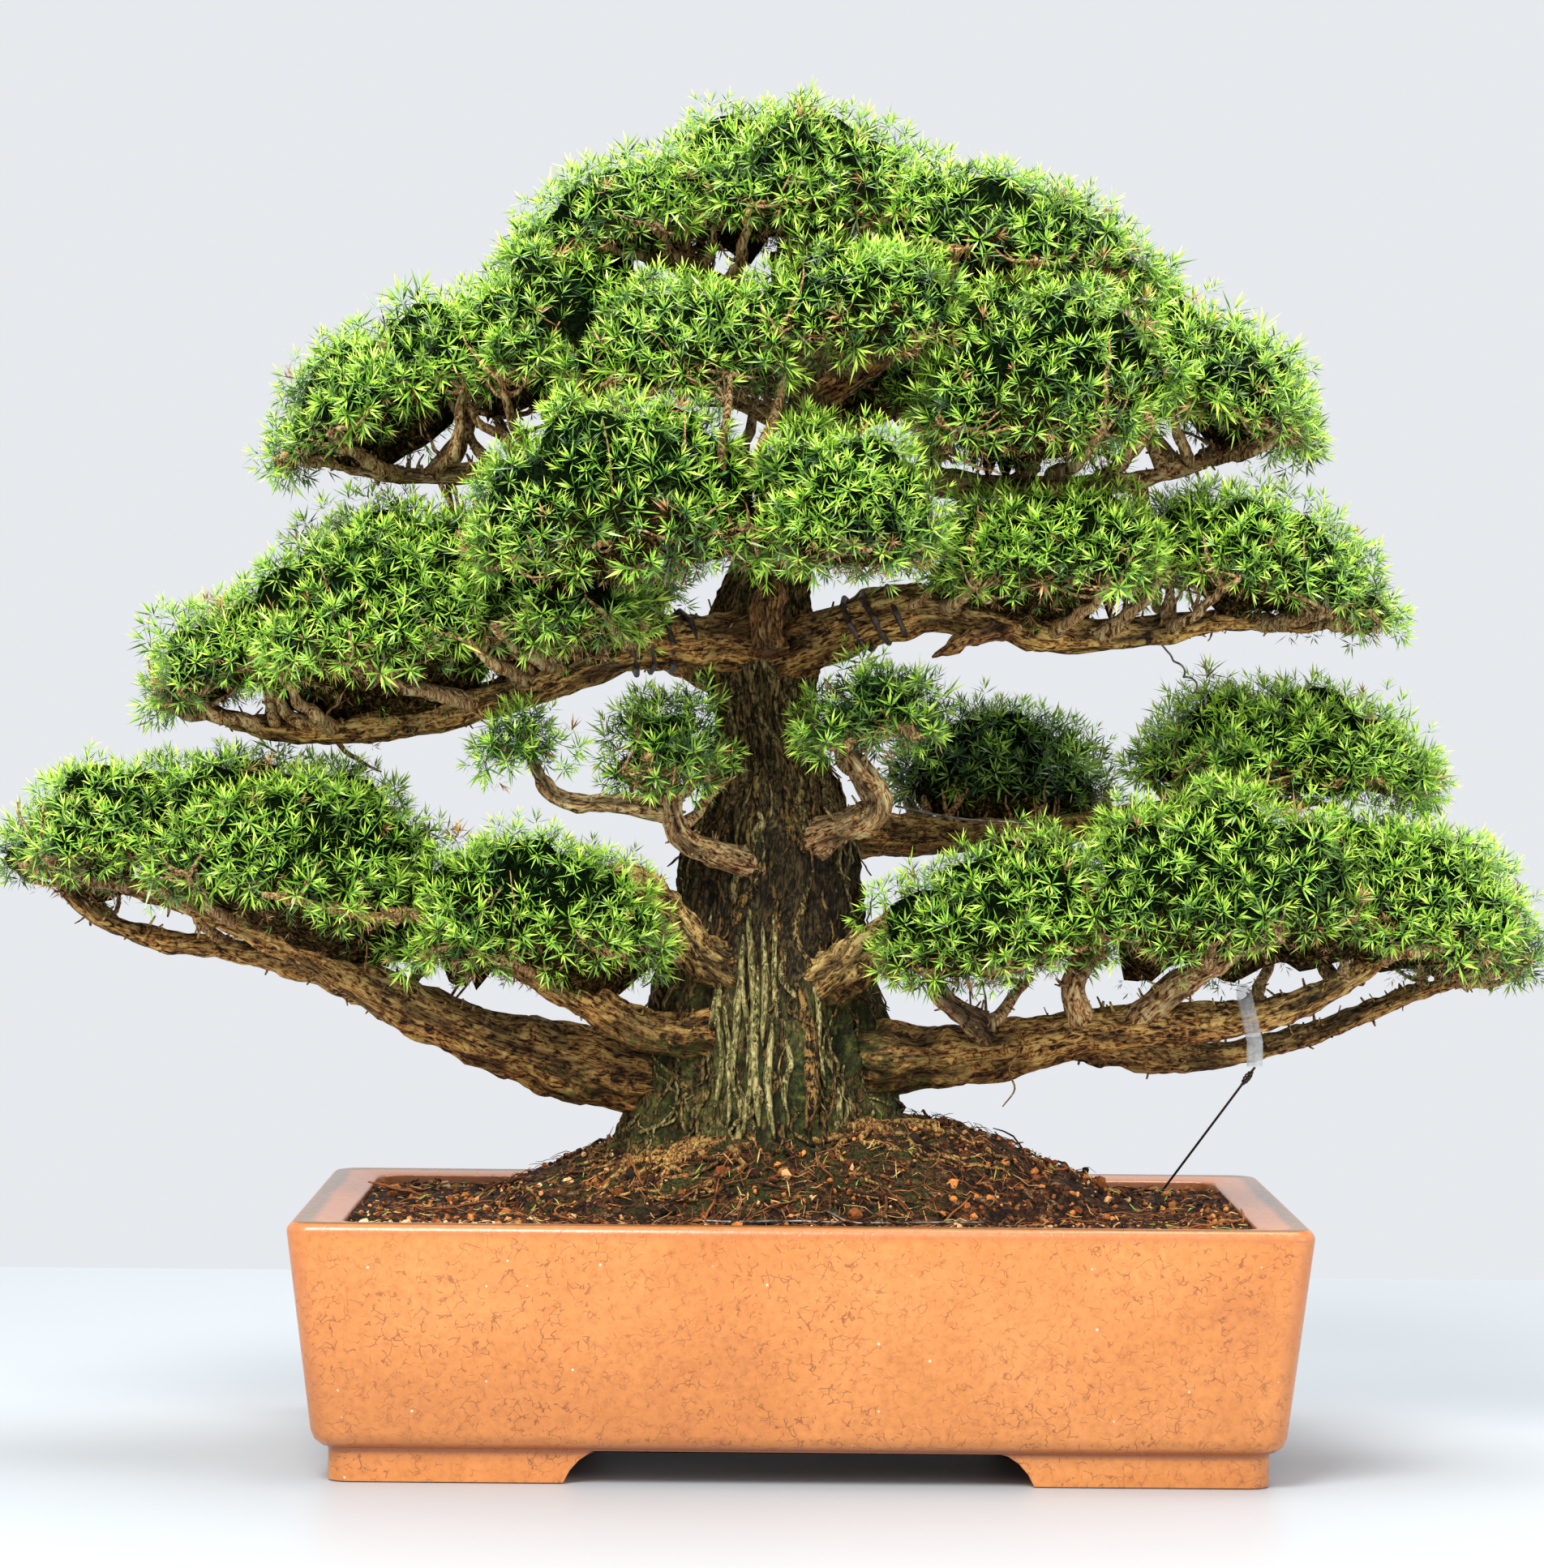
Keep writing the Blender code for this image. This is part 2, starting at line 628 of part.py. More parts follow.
def make_pads(wood):
    cleared = list(wood)
    for name in PADS:
        look = LEAF_SHADE if "rear" in name else LEAF
        pad = new_piece(name, pad_mesh(name), look)
        carve(pad, cleared)
        cleared.append(new_cutter(name, pad_mesh(name, GAP)))


def on_branch(name, share):
    """The place, direction and half thickness at this share of a branch's length."""
    path, radii = branch_path(name)
    radii[0] /= ROOT_NARROWING
    at = share * (len(path) - 1)
    low = int(at)
    part = at - low
    place = path[low] * (1 - part) + path[low + 1] * part
    direction = path[low + 1] - path[low]
    radius = radii[low] * (1 - part) + radii[low + 1] * part
    return place, direction / np.linalg.norm(direction), radius


def around(direction):
    """Two directions across this one: level, and as near upright as it gets."""
    level = np.cross((0, 0, 1), direction)
    level /= np.linalg.norm(level)
    return level, np.cross(direction, level)


def sleeve_path():
    """Over the low right branch from one side to the other, with both ends hanging side by side."""
    place, direction, radius = on_branch("low_right_branch", GUY_PLACE)
    level, upright = around(direction)
    reach = radius + SLEEVE_DIAMETER / 2 + 2 * GAP
    leg = SLEEVE_DIAMETER / 2 + GAP
    low = math.asin(leg / reach)
    turn = np.linspace(-math.pi / 2 + low, 3 * math.pi / 2 - low, 13)[:, None]
    arch = place + reach * (np.cos(turn) * level + np.sin(turn) * upright)
    drop = np.array([0, 0, -SLEEVE_DROP])
    return np.vstack([arch[:1] + drop, arch, arch[-1:] + drop])


def guy_path():
    """Taut from between the sleeve's ends to a point in the soil."""
    sleeve = sleeve_path()
    start = (sleeve[0] + sleeve[-1]) / 2 - np.array([0, 0, 2 * GAP])
    end = placed((*GUY_ANCHOR, 0))
    end[2] = soil_height(end[0], end[1]) - GUY_DEPTH
    return np.linspace(start, end, 4)


def tie_path():
    """From under the middle right branch to the top of the rear right one, with a little slack."""
    upper, _, upper_radius = on_branch("middle_right_branch", TIE_FROM)
    lower, _, lower_radius = on_branch("rear_right_branch", TIE_TO)
    clear = TIE_DIAMETER / 2 + 2 * GAP
    start = upper - np.array([0, 0, upper_radius + clear])
    end = lower + np.array([0, 0, lower_radius + clear])
    share = np.linspace(0, 1, 6)[:, None]
    return start + (end - start) * share + np.array([TIE_SAG, 0, 0]) * np.sin(math.pi * share)


def winding_path(branch, first, last):
    """A helix on the branch's surface, which follows its middle line and its taper."""
    points = []
    for k in range(8 * TRAINING_TURNS + 1):
        place, direction, radius = on_branch(branch, first + (last - first) * k / (8 * TRAINING_TURNS))
        level, upright = around(direction)
        turn = k * math.pi / 4
        reach = radius + TRAINING_DIAMETER / 2 + 3 * GAP
        points.append(place + reach * (math.cos(turn) * level + math.sin(turn) * upright))
    return np.array(points)


def winding_room(branch, first, last):
    """A plain tube that holds the branch and the wire wound on it, from end to end of the winding."""
    stations = [on_branch(branch, share) for share in np.linspace(first, last, 5)]
    path = np.array([place for place, _, _ in stations])
    radii = np.array([radius for _, _, radius in stations]) + TRAINING_DIAMETER + 4 * GAP
    return tube_mesh(lengthened(path, TRAINING_DIAMETER), radii)


def make_wires(wood):
    """Sleeve and wires. Returns the clearings that cut the foliage and the soil."""
    runs = {
        "guy_sleeve": (sleeve_path(), SLEEVE_DIAMETER, CLEAR_PLASTIC, 0.0),
        "guy_wire": (guy_path(), GUY_DIAMETER, STEEL, 1.0),
        "tie_wire": (tie_path(), TIE_DIAMETER, STEEL, 1.0),
    }
    cleared = []
    for name, (path, diameter, look, metallic) in runs.items():
        radii = np.full(len(path), diameter / 2)
        wire = new_piece(name, tube_mesh(path, radii), look, metallic)
        carve(wire, wood + cleared)
        room = tube_mesh(lengthened(path, GAP), radii + GAP)
        cleared.append(new_cutter(name, room))
    for name, place in TRAINING_WIRES.items():
        path = winding_path(*place)
        radii = np.full(len(path), TRAINING_DIAMETER / 2)
        new_piece(name, tube_mesh(path, radii), DARK_WIRE, 1.0)
        cleared.append(new_cutter(name, winding_room(*place)))
    return cleared


def build():
    screens = make_screens()
    make_pot()
    wood = make_trunk_and_branches()
    wires = make_wires(wood)
    make_soil(screens + wood[:1] + wires)
    make_pads(wood + wires)


build()
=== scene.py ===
"""Looks of a bonsai tree in a rectangular glazed pot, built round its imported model.

Lengths are in metres, +Z up. Routes and pads are given in millimetres from the pot's centre at rim
height, and placed() turns them into world points. Surfaces are worked out with numpy as whole arrays.
"""

import math

import bmesh
import bpy
import numpy as np
from mathutils import Matrix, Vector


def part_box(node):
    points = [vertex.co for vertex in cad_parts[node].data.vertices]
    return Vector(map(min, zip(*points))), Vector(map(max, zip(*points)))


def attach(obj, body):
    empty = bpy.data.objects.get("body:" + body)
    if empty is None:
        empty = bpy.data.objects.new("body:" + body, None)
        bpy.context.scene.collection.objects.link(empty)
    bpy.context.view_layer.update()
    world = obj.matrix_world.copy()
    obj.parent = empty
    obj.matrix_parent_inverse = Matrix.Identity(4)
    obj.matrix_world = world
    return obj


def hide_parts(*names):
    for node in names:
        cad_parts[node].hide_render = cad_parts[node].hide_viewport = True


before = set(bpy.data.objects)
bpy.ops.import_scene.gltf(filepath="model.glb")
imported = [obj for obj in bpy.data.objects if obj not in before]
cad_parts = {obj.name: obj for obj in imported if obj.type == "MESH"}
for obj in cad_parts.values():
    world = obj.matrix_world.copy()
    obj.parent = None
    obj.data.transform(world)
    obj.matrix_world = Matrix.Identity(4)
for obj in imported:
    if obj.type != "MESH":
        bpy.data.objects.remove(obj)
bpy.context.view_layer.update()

MM = 0.001
BODY = "root"
SEED = 7

pot_low, pot_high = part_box("pot")
ORIGIN = np.array([(pot_low.x + pot_high.x) / 2, (pot_low.y + pot_high.y) / 2, pot_high.z])
HALF_LENGTH = (pot_high.x - pot_low.x) / 2
HALF_DEPTH = (pot_high.y - pot_low.y) / 2
POT_HEIGHT = pot_high.z - pot_low.z
LIP_WIDTH = 0.0264

# Middle line and half width of the trunk: x, y, z, half width
TRUNK = [
    (-18, 8, -32, 92), (-19, 8, 0, 84), (-19, 8, 30, 69), (-18, 8, 60, 62), (-18, 7, 92, 56),
    (-19, 6, 124, 48), (-18, 5, 156, 44), (-16, 4, 182, 41), (-15, 4, 206, 32), (-17, 4, 231, 25),
    (-20, 3, 256, 24), (-22, 2, 281, 28), (-21, 0, 306, 22), (-15, -1, 331, 17), (-7, -2, 356, 15),
    (1, -3, 381, 13), (4, -4, 406, 11.5), (-1, -6, 432, 9.5), (-8, -8, 458, 7), (-13, -10, 484, 5),
]
TRUNK_DEPTH_SHARE = 0.86

# Each branch: half thickness at its root and tip, then its route
BRANCHES = {
    "low_left_branch": (20, 4.5, [
        (-30, 2, 68), (-77, -10, 62), (-118, -20, 70), (-159, -28, 82), (-200, -32, 99), (-236, -32, 118),
        (-271, -28, 135), (-311, -20, 148), (-351, -10, 160)]),
    "low_left_rear_limb": (9, 3.5, [
        (-165, -28, 86), (-190, -6, 93), (-222, 12, 103), (-256, 24, 115), (-292, 30, 123), (-330, 28, 128),
        (-362, 20, 140), (-382, 10, 160)]),
    "low_left_upper_branch": (12.5, 4, [
        (-36, -12, 84), (-76, -46, 87), (-105, -61, 102), (-133, -68, 117), (-162, -70, 131),
        (-188, -68, 144)]),
    "left_stub_branch": (13.5, 5.5, [(-24, -8, 104), (-52, -38, 127), (-71, -53, 153), (-90, -60, 168)]),
    "left_front_branch": (9, 3, [
        (-14, -8, 168), (-45, -42, 178), (-62, -58, 187), (-68, -62, 211), (-78, -60, 234), (-88, -56, 248)]),
    "right_front_branch": (10.5, 3.2, [
        (-4, -12, 180), (36, -46, 199), (30, -58, 218), (20, -62, 234), (28, -60, 250), (42, -58, 262)]),
    "rear_right_branch": (13, 4, [
        (-6, 18, 188), (34, 50, 184), (76, 66, 184), (122, 66, 187), (170, 56, 194), (211, 42, 206),
        (246, 34, 228)]),
    "right_stub_branch": (14.5, 6.5, [(-6, -8, 100), (20, -36, 119), (40, -52, 137), (60, -60, 152)]),
    "low_right_branch": (18.5, 4, [
        (0, 2, 76), (51, -14, 73), (98, -28, 78), (141, -36, 88), (184, -42, 93), (226, -47, 97),
        (256, -48, 106), (282, -44, 121), (308, -36, 141)]),
    "low_right_rear_limb": (9.5, 3, [
        (128, -34, 86), (160, -8, 78), (190, 8, 73), (222, 18, 74), (266, 20, 86), (315, 14, 106),
        (366, 4, 122)]),
    "low_right_upright_limb": (6.5, 3, [(143, -36, 90), (137, -54, 112), (144, -61, 138), (142, -62, 164)]),
    "low_right_fork_limb": (8, 3, [
        (168, -40, 92), (190, -57, 114), (213, -64, 128), (227, -64, 147), (227, -60, 168)]),
    "curled_branch": (7.5, 3.2, [
        (96, -27, 80), (88, -52, 94), (71, -61, 106), (66, -63, 120), (71, -62, 134), (82, -60, 148)]),
    "middle_left_branch": (15, 3.5, [
        (-17, -4, 283), (-50, -25, 284), (-79, -36, 283), (-105, -41, 275), (-137, -42, 261),
        (-176, -38, 248), (-214, -32, 240), (-252, -26, 237), (-289, -20, 242), (-318, -12, 253)]),
    "middle_right_branch": (14.5, 3.5, [
        (-17, -4, 276), (12, -27, 287), (36, -38, 297), (65, -41, 302), (97, -41, 296), (134, -38, 288),
        (176, -32, 292), (218, -24, 297), (256, -15, 296), (288, -8, 306)]),
    "upper_left_branch": (9, 3, [
        (-4, -2, 368), (-38, -24, 371), (-88, -34, 374), (-141, -30, 372), (-191, -22, 367),
        (-228, -15, 371), (-258, -8, 383)]),
    "upper_right_branch": (9, 3, [
        (0, -2, 374), (36, -24, 370), (76, -34, 365), (126, -35, 363), (167, -26, 368), (201, -16, 378),
        (239, -8, 392)]),
    "front_branch": (9, 3.5, [(-14, -6, 330), (-18, -56, 339), (-36, -96, 343), (-66, -124, 343)]),
    "crown_left_limb": (8, 2.8, [
        (3, -4, 416), (-18, -12, 443), (-45, -15, 464), (-77, -12, 480), (-110, -6, 489)]),
    "crown_right_limb": (8, 2.8, [
        (3, -4, 410), (28, -18, 424), (56, -26, 445), (90, -22, 467), (130, -12, 484)]),
    "rear_left_branch": (11, 3.5, [(-20, 6, 256), (-56, 46, 272), (-92, 82, 284), (-134, 104, 292)]),
    "upper_rear_branch": (9, 3, [(0, 0, 366), (6, 44, 384), (22, 82, 398), (52, 104, 410)]),
}

# Foliage pads: middle x and y, lowest and highest z, half width, half depth, rise towards +X
PADS = {
    "low_left_tip_pad": (-354, -4, 150, 228, 60, 64, 0.10),
    "low_left_pad": (-256, -12, 122, 234, 88, 104, -0.14),
    "low_left_inner_pad": (-136, -62, 102, 198, 76, 60, 0.02),
    "left_tuft_pad": (-67, -58, 198, 267, 39, 42, 0.05),
    "right_tuft_pad": (34, -60, 218, 285, 42, 42, 0.10),
    "rear_right_pad": (108, 104, 184, 260, 66, 58, -0.10),
    "low_right_upper_pad": (252, 32, 192, 272, 84, 76, -0.05),
    "low_right_inner_pad": (100, -60, 102, 194, 68, 60, 0.12),
    "low_right_pad": (208, -52, 114, 218, 82, 80, 0.05),
    "low_right_outer_pad": (314, -10, 110, 210, 72, 74, -0.24),
    "middle_left_tip_pad": (-296, -8, 242, 312, 46, 66, 0.30),
    "middle_left_pad": (-214, -30, 244, 362, 76, 98, 0.10),
    "middle_left_inner_pad": (-124, -62, 262, 368, 56, 84, 0.06),
    "front_left_pad": (-90, -122, 298, 410, 84, 62, 0.08),
    "front_right_pad": (16, -118, 304, 400, 60, 58, -0.05),
    "middle_right_inner_pad": (122, -56, 292, 376, 68, 76, 0.0),
    "middle_right_pad": (232, -12, 290, 368, 72, 82, -0.24),
    "middle_rear_pad": (-136, 106, 286, 362, 82, 58, 0.05),
    "upper_left_pad": (-212, -12, 372, 456, 64, 82, 0.42),
    "upper_left_inner_pad": (-130, -22, 392, 496, 64, 84, 0.16),
    "upper_centre_pad": (-60, -94, 392, 468, 62, 52, 0.02),
    "upper_right_inner_pad": (112, -78, 360, 474, 70, 70, 0.04),
    "upper_right_pad": (212, -8, 378, 464, 60, 80, -0.32),
    "upper_rear_pad": (50, 112, 394, 492, 118, 62, 0.0),
    "crown_left_pad": (-90, -12, 466, 534, 62, 74, 0.22),
    "crown_pad": (-8, -14, 474, 564, 76, 86, 0.0),
    "crown_right_pad": (104, -6, 450, 534, 82, 86, -0.18),
    "crown_front_pad": (20, -98, 412, 488, 68, 46, 0.0),
}
# Small tufts that show loose shoots only, in the same terms as PADS
TUFTS = {"outer_tuft": (-143, -60, 212, 256, 27, 28, 0.1)}
LOOSE_PADS = ("left_tuft_pad", "right_tuft_pad", *TUFTS)  # thin enough to see through
SHADED_PADS = {"rear_right_pad": 0.30, "middle_rear_pad": 0.12, "upper_rear_pad": 0.08}
OPEN_BELOW = ("low_right_inner_pad", *LOOSE_PADS)  # the background shows between these and their branches
PAD_UNDER_SHARE = 0.34
PAD_FULLNESS = 0.86
PAD_LUMP = 0.045


# ---------------------------------------------------------------- arrays

def placed(points):
    """World points of points in millimetres from the pot's centre at rim height."""
    return np.asarray(points, float) * MM + ORIGIN


def unit(vectors):
    """Each vector divided by its own length."""
    return vectors / np.maximum(np.linalg.norm(vectors, axis=-1, keepdims=True), 1e-12)


def value_noise(points, seed=0):
    """Smooth random values from -1 to 1: a hashed value at each whole-number corner round the point,
    blended by the smooth step 3f^2 - 2f^3 of the point's place f between the corners."""
    cell = np.floor(points).astype(np.int64)
    part = points - cell
    part = part * part * (3 - 2 * part)
    total = np.zeros(points.shape[:-1])
    for corner in np.ndindex(2, 2, 2):
        at = cell + np.array(corner)
        mixed = at[..., 0] * 73856093 ^ at[..., 1] * 19349663 ^ at[..., 2] * 83492791 ^ (seed * 40503 + 97)
        mixed = (mixed ^ (mixed >> 13)) * 1274126177 & 0xFFFFFFFF
        mixed = (mixed ^ (mixed >> 15)) * 2246822519 & 0xFFFFFFFF
        weight = np.prod(np.where(corner, part, 1 - part), axis=-1)
        total += weight * (((mixed ^ (mixed >> 16)) & 0xFFFF) / 32767.5 - 1)
    return total


def layered_noise(points, octaves=3, seed=0):
    """Value noise plus half as much at twice the fineness, and so on, from about -1 to 1."""
    total = sum(value_noise(points * 2**k + 17.3 * k, seed + k) * 0.5**k for k in range(octaves))
    return total / (2 - 0.5 ** (octaves - 1))


def ridged_noise(points, octaves=2, seed=0):
    """1 less twice the size of layered noise: sharp crests at 1, rounded valleys below 0."""
    return 1 - 2 * np.abs(layered_noise(points, octaves, seed)) * 1.6


def smooth_path(points, steps):
    """A Catmull-Rom curve through the points, with this many steps between each two."""
    points = np.asarray(points, float)
    ends = np.vstack([2 * points[0] - points[1], points, 2 * points[-1] - points[-2]])
    a, b, c, d = (ends[k:len(ends) - 3 + k][:, None] for k in range(4))
    t = (np.arange(steps) / steps)[None, :, None]
    spans = 0.5 * (2 * b + (c - a) * t + (2 * a - 5 * b + 4 * c - d) * t**2 + (3 * b - a - 3 * c + d) * t**3)
    return np.vstack([spans.reshape(-1, points.shape[1]), points[-1:]])


def evenly(path, step):
    """The path read again at equal steps along its length, and the length at each."""
    length = np.concatenate([[0], np.cumsum(np.linalg.norm(np.diff(path[:, :3], axis=0), axis=1))])
    at = np.linspace(0, length[-1], max(int(length[-1] / step), 2) + 1)
    return np.stack([np.interp(at, length, column) for column in path.T], 1), at


def across(paths):
    """Two unit directions across each point of each path (n, k, 3). The first is the normal of the plane
    that the path lies nearest to, made square to the path's direction, and so never turns along it."""
    along = unit(np.gradient(paths, axis=1))
    centred = paths - paths.mean(axis=1, keepdims=True)
    _, directions = np.linalg.eigh(np.einsum("nki,nkj->nij", centred, centred))
    normal = directions[:, :, 0][:, None, :]
    side = unit(normal - along * (along * normal).sum(-1, keepdims=True))
    return side, np.cross(along, side)


# ---------------------------------------------------------------- meshes

def new_mesh(name, points, faces, smooth=True):
    """A mesh of points (n, 3) and a list of face arrays, each (m, corners)."""
    mesh = bpy.data.meshes.new(name)
    faces = [np.asarray(f, np.int32) for f in faces if len(f)]
    mesh.vertices.add(len(points))
    mesh.vertices.foreach_set("co", np.asarray(points, np.float32).ravel())
    corners = np.concatenate([f.ravel() for f in faces])
    counts = np.concatenate([np.full(len(f), f.shape[1]) for f in faces])
    mesh.loops.add(len(corners))
    mesh.loops.foreach_set("vertex_index", corners)
    mesh.polygons.add(len(counts))
    mesh.polygons.foreach_set("loop_start", np.concatenate([[0], np.cumsum(counts)[:-1]]).astype(np.int32))
    mesh.polygons.foreach_set("use_smooth", np.full(len(counts), smooth))
    mesh.update(calc_edges=True)
    return mesh


def give_vectors(mesh, name, values):
    """Stores a vector for each point of the mesh, for its material to read."""
    mesh.attributes.new(name, "FLOAT_VECTOR", "POINT").data.foreach_set(
        "vector", np.asarray(values, np.float32).ravel())


def give_map(mesh, name, values):
    """A UV map from one pair of numbers for each point of the mesh."""
    corners = np.empty(len(mesh.loops), np.int32)
    mesh.loops.foreach_get("vertex_index", corners)
    layer = mesh.uv_layers.new(name=name)
    layer.uv.foreach_set("vector", np.asarray(values, np.float32)[corners].ravel())


def new_piece(name, mesh, material, slot, *stands_for):
    """A piece that rides on the body, wears the material and stands for these CAD nodes."""
    mesh.name = name
    piece = bpy.data.objects.new(name, mesh)
    bpy.context.scene.collection.objects.link(piece)
    mesh.materials.clear()
    mesh.materials.append(material)
    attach(piece, BODY)
    if stands_for:
        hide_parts(*stands_for)
    return piece


def grid_quads(rows, columns):
    """Faces of a grid of points, row by row, whose last column joins up with the first."""
    row = np.arange(rows - 1)[:, None] * columns
    column = np.arange(columns)[None, :]
    after = (column + 1) % columns
    return np.stack([row + column, row + after, row + columns + after, row + columns + column],
                    -1).reshape(-1, 4)


def end_caps(rows, columns):
    """Two faces that close the first and the last row of a grid of points."""
    return np.stack([np.arange(columns)[::-1], (rows - 1) * columns + np.arange(columns)])


def closed_grids(count, rows, columns):
    """Faces of several grids of points one after another, each joined round and capped at both ends."""
    first = np.arange(count)[:, None, None] * rows * columns
    return [(grid_quads(rows, columns) + first).reshape(-1, 4),
            (end_caps(rows, columns) + first).reshape(-1, columns)]


def tubes(paths, radii, sides):
    """Points and faces of closed tubes along paths (n, k, 3) with radii (n, k): a circle of points across
    each path point, joined along the path and capped at both ends."""
    count, steps = paths.shape[:2]
    side, up = across(paths)
    turn = np.arange(sides) * 2 * math.pi / sides
    ring = np.cos(turn)[:, None] * side[:, :, None] + np.sin(turn)[:, None] * up[:, :, None]
    points = paths[:, :, None] + radii[:, :, None, None] * ring
    return points.reshape(-1, 3), closed_grids(count, steps, sides)


def joined(shapes):
    """Points and faces of several shapes as one."""
    points = np.concatenate([p for p, _ in shapes])
    faces, first = [], 0
    for shape_points, shape_faces in shapes:
        faces.extend(f + first for f in shape_faces)
        first += len(shape_points)
    return points, faces


# ---------------------------------------------------------------- materials

def new_material(name, roughness, **sockets):
    """A material of one Principled shader. Returns it with its node tree and shader."""
    material = bpy.data.materials.new(name)
    material.use_nodes = True
    tree = material.node_tree
    shader = tree.nodes["Principled BSDF"]
    shader.inputs["Roughness"].default_value = roughness
    for socket, value in sockets.items():
        shader.inputs[socket.replace("_", " ")].default_value = value
    return material, tree, shader


def put(tree, socket, value):
    """Links an output to the socket, or sets a plain value on it."""
    if isinstance(value, bpy.types.NodeSocket):
        tree.links.new(value, socket)
    else:
        socket.default_value = (*value, 1) if isinstance(value, tuple) and len(value) == 3 and \
            socket.type == "RGBA" else value


def coordinates(tree, source, scale=(1, 1, 1), place=(0, 0, 0)):
    """Object coordinates, a UV map or an attribute, scaled. The source is Object or the name of one."""
    if source == "Object":
        out = tree.nodes.new("ShaderNodeTexCoord").outputs["Object"]
    else:
        reader = tree.nodes.new("ShaderNodeAttribute")
        reader.attribute_name = source
        out = reader.outputs["Vector"]
    mapping = tree.nodes.new("ShaderNodeMapping")
    mapping.inputs["Scale"].default_value = scale
    mapping.inputs["Location"].default_value = place
    tree.links.new(out, mapping.inputs["Vector"])
    return mapping.outputs["Vector"]


def noise(tree, vector, scale=1.0, detail=3.0, roughness=0.55, distortion=0.0):
    """Noise from 0 to 1."""
    node = tree.nodes.new("ShaderNodeTexNoise")
    tree.links.new(vector, node.inputs["Vector"])
    for socket, value in (("Scale", scale), ("Detail", detail), ("Roughness", roughness),
                          ("Distortion", distortion)):
        node.inputs[socket].default_value = value
    return node.outputs["Fac"]


def cells(tree, vector, scale, feature="F1", output="Distance"):
    """A cell pattern: the distance to the nearest cell's middle or edge, or the cell's own colour."""
    node = tree.nodes.new("ShaderNodeTexVoronoi")
    node.feature = feature
    tree.links.new(vector, node.inputs["Vector"])
    node.inputs["Scale"].default_value = scale
    return node.outputs[output]


def ramp(tree, factor, *stops):
    """A colour or a number that runs through the stops, each (place, colour) or (place, number)."""
    node = tree.nodes.new("ShaderNodeValToRGB")
    tree.links.new(factor, node.inputs["Fac"])
    elements = node.color_ramp.elements
    while len(elements) < len(stops):
        elements.new(0.5)
    for element, (place, value) in zip(elements, stops):
        element.position = place
        element.color = (*value, 1) if isinstance(value, tuple) else (value, value, value, 1)
    return node.outputs["Color"]


def mix(tree, factor, first, second, kind="MIX"):
    """One colour over another by a factor."""
    node = tree.nodes.new("ShaderNodeMix")
    node.data_type = "RGBA"
    node.blend_type = kind
    node.clamp_factor = True
    put(tree, node.inputs[0], factor)
    put(tree, node.inputs[6], first)
    put(tree, node.inputs[7], second)
    return node.outputs[2]


def math_node(tree, operation, first, second=0.0):
    """One operation on two numbers, each an output or a plain value."""
    node = tree.nodes.new("ShaderNodeMath")
    node.operation = operation
    put(tree, node.inputs[0], first)
    put(tree, node.inputs[1], second)
    return node.outputs[0]


def plus(tree, first, second):
    """The sum of two numbers."""
    return math_node(tree, "ADD", first, second)


def minus(tree, first, second):
    """The first number less the second."""
    return math_node(tree, "SUBTRACT", first, second)


def times(tree, first, second):
    """The product of two numbers."""
    return math_node(tree, "MULTIPLY", first, second)


def split(tree, vector):
    """The three numbers of a vector or colour."""
    node = tree.nodes.new("ShaderNodeSeparateXYZ")
    tree.links.new(vector, node.inputs[0])
    return node.outputs


def give_bump(tree, shader, height, distance, strength=1.0):
    """Lets a height pattern tilt the shading of a surface."""
    node = tree.nodes.new("ShaderNodeBump")
    node.inputs["Distance"].default_value = distance
    node.inputs["Strength"].default_value = strength
    tree.links.new(height, node.inputs["Height"])
    tree.links.new(node.outputs["Normal"], shader.inputs["Normal"])


def bark_material(name, dark, brown, tan):
    """Fibrous bark: streaks along the wood from its grain, over patches, with moss, paler wood where it is
    bleached or carries a painted highlight, and painted shade in its crevices, as each point says."""
    material, tree, shader = new_material(name, 0.86, Specular_IOR_Level=0.25)
    fibre = noise(tree, coordinates(tree, "grain", (760, 760, 120)), 1, 5, 0.66, 0.9)
    flakes = noise(tree, coordinates(tree, "grain", (210, 210, 120)), 1, 5, 0.68, 1.8)
    patches = noise(tree, coordinates(tree, "Object", (24, 24, 24)), 1, 3)
    streaks = plus(tree, times(tree, fibre, 0.50), times(tree, flakes, 0.50))
    wood = ramp(tree, streaks, (0.43, dark), (0.485, brown), (0.53, tan),
                (0.585, tuple(min(1, c * 1.6) for c in tan)))
    warm = ramp(tree, patches, (0.35, (0.60, 0.56, 0.52)), (0.65, (1.08, 0.98, 0.84)))
    wood = mix(tree, 1.0, wood, warm, "MULTIPLY")
    moss_share, bleach_and_highlight_share, shade = split(tree, coordinates(tree, "stain_and_painted_light"))
    pale = ramp(tree, streaks, (0.43, (0.030, 0.026, 0.008)), (0.49, (0.26, 0.23, 0.070)),
                (0.57, (0.74, 0.66, 0.30)))
    # paler wood: partly bleached, partly a painted highlight
    wood = mix(tree, bleach_and_highlight_share, wood, pale)
    tufts = noise(tree, coordinates(tree, "Object", (260, 260, 260)), 1, 4, 0.65)
    moss = ramp(tree, tufts, (0.38, (0.012, 0.016, 0.004)), (0.52, (0.055, 0.07, 0.014)),
                (0.66, (0.19, 0.20, 0.035)))
    cover = plus(tree, moss_share, times(tree, minus(tree, tufts, 0.5), 1.4))
    cover = times(tree, cover, ramp(tree, moss_share, (0.02, 0.0), (0.2, 1.0)))
    wood = mix(tree, ramp(tree, cover, (0.3, 0.0), (0.7, 1.0)), wood, moss)
    # darker towards near black: painted shade in crevices, hollows and behind the pads, and darker bark
    wood = mix(tree, shade, wood, mix(tree, 0.84, wood, (0.006, 0.0045, 0.003)))
    tree.links.new(wood, shader.inputs["Base Color"])
    give_bump(tree, shader, streaks, 0.0034, 1.0)
    return material


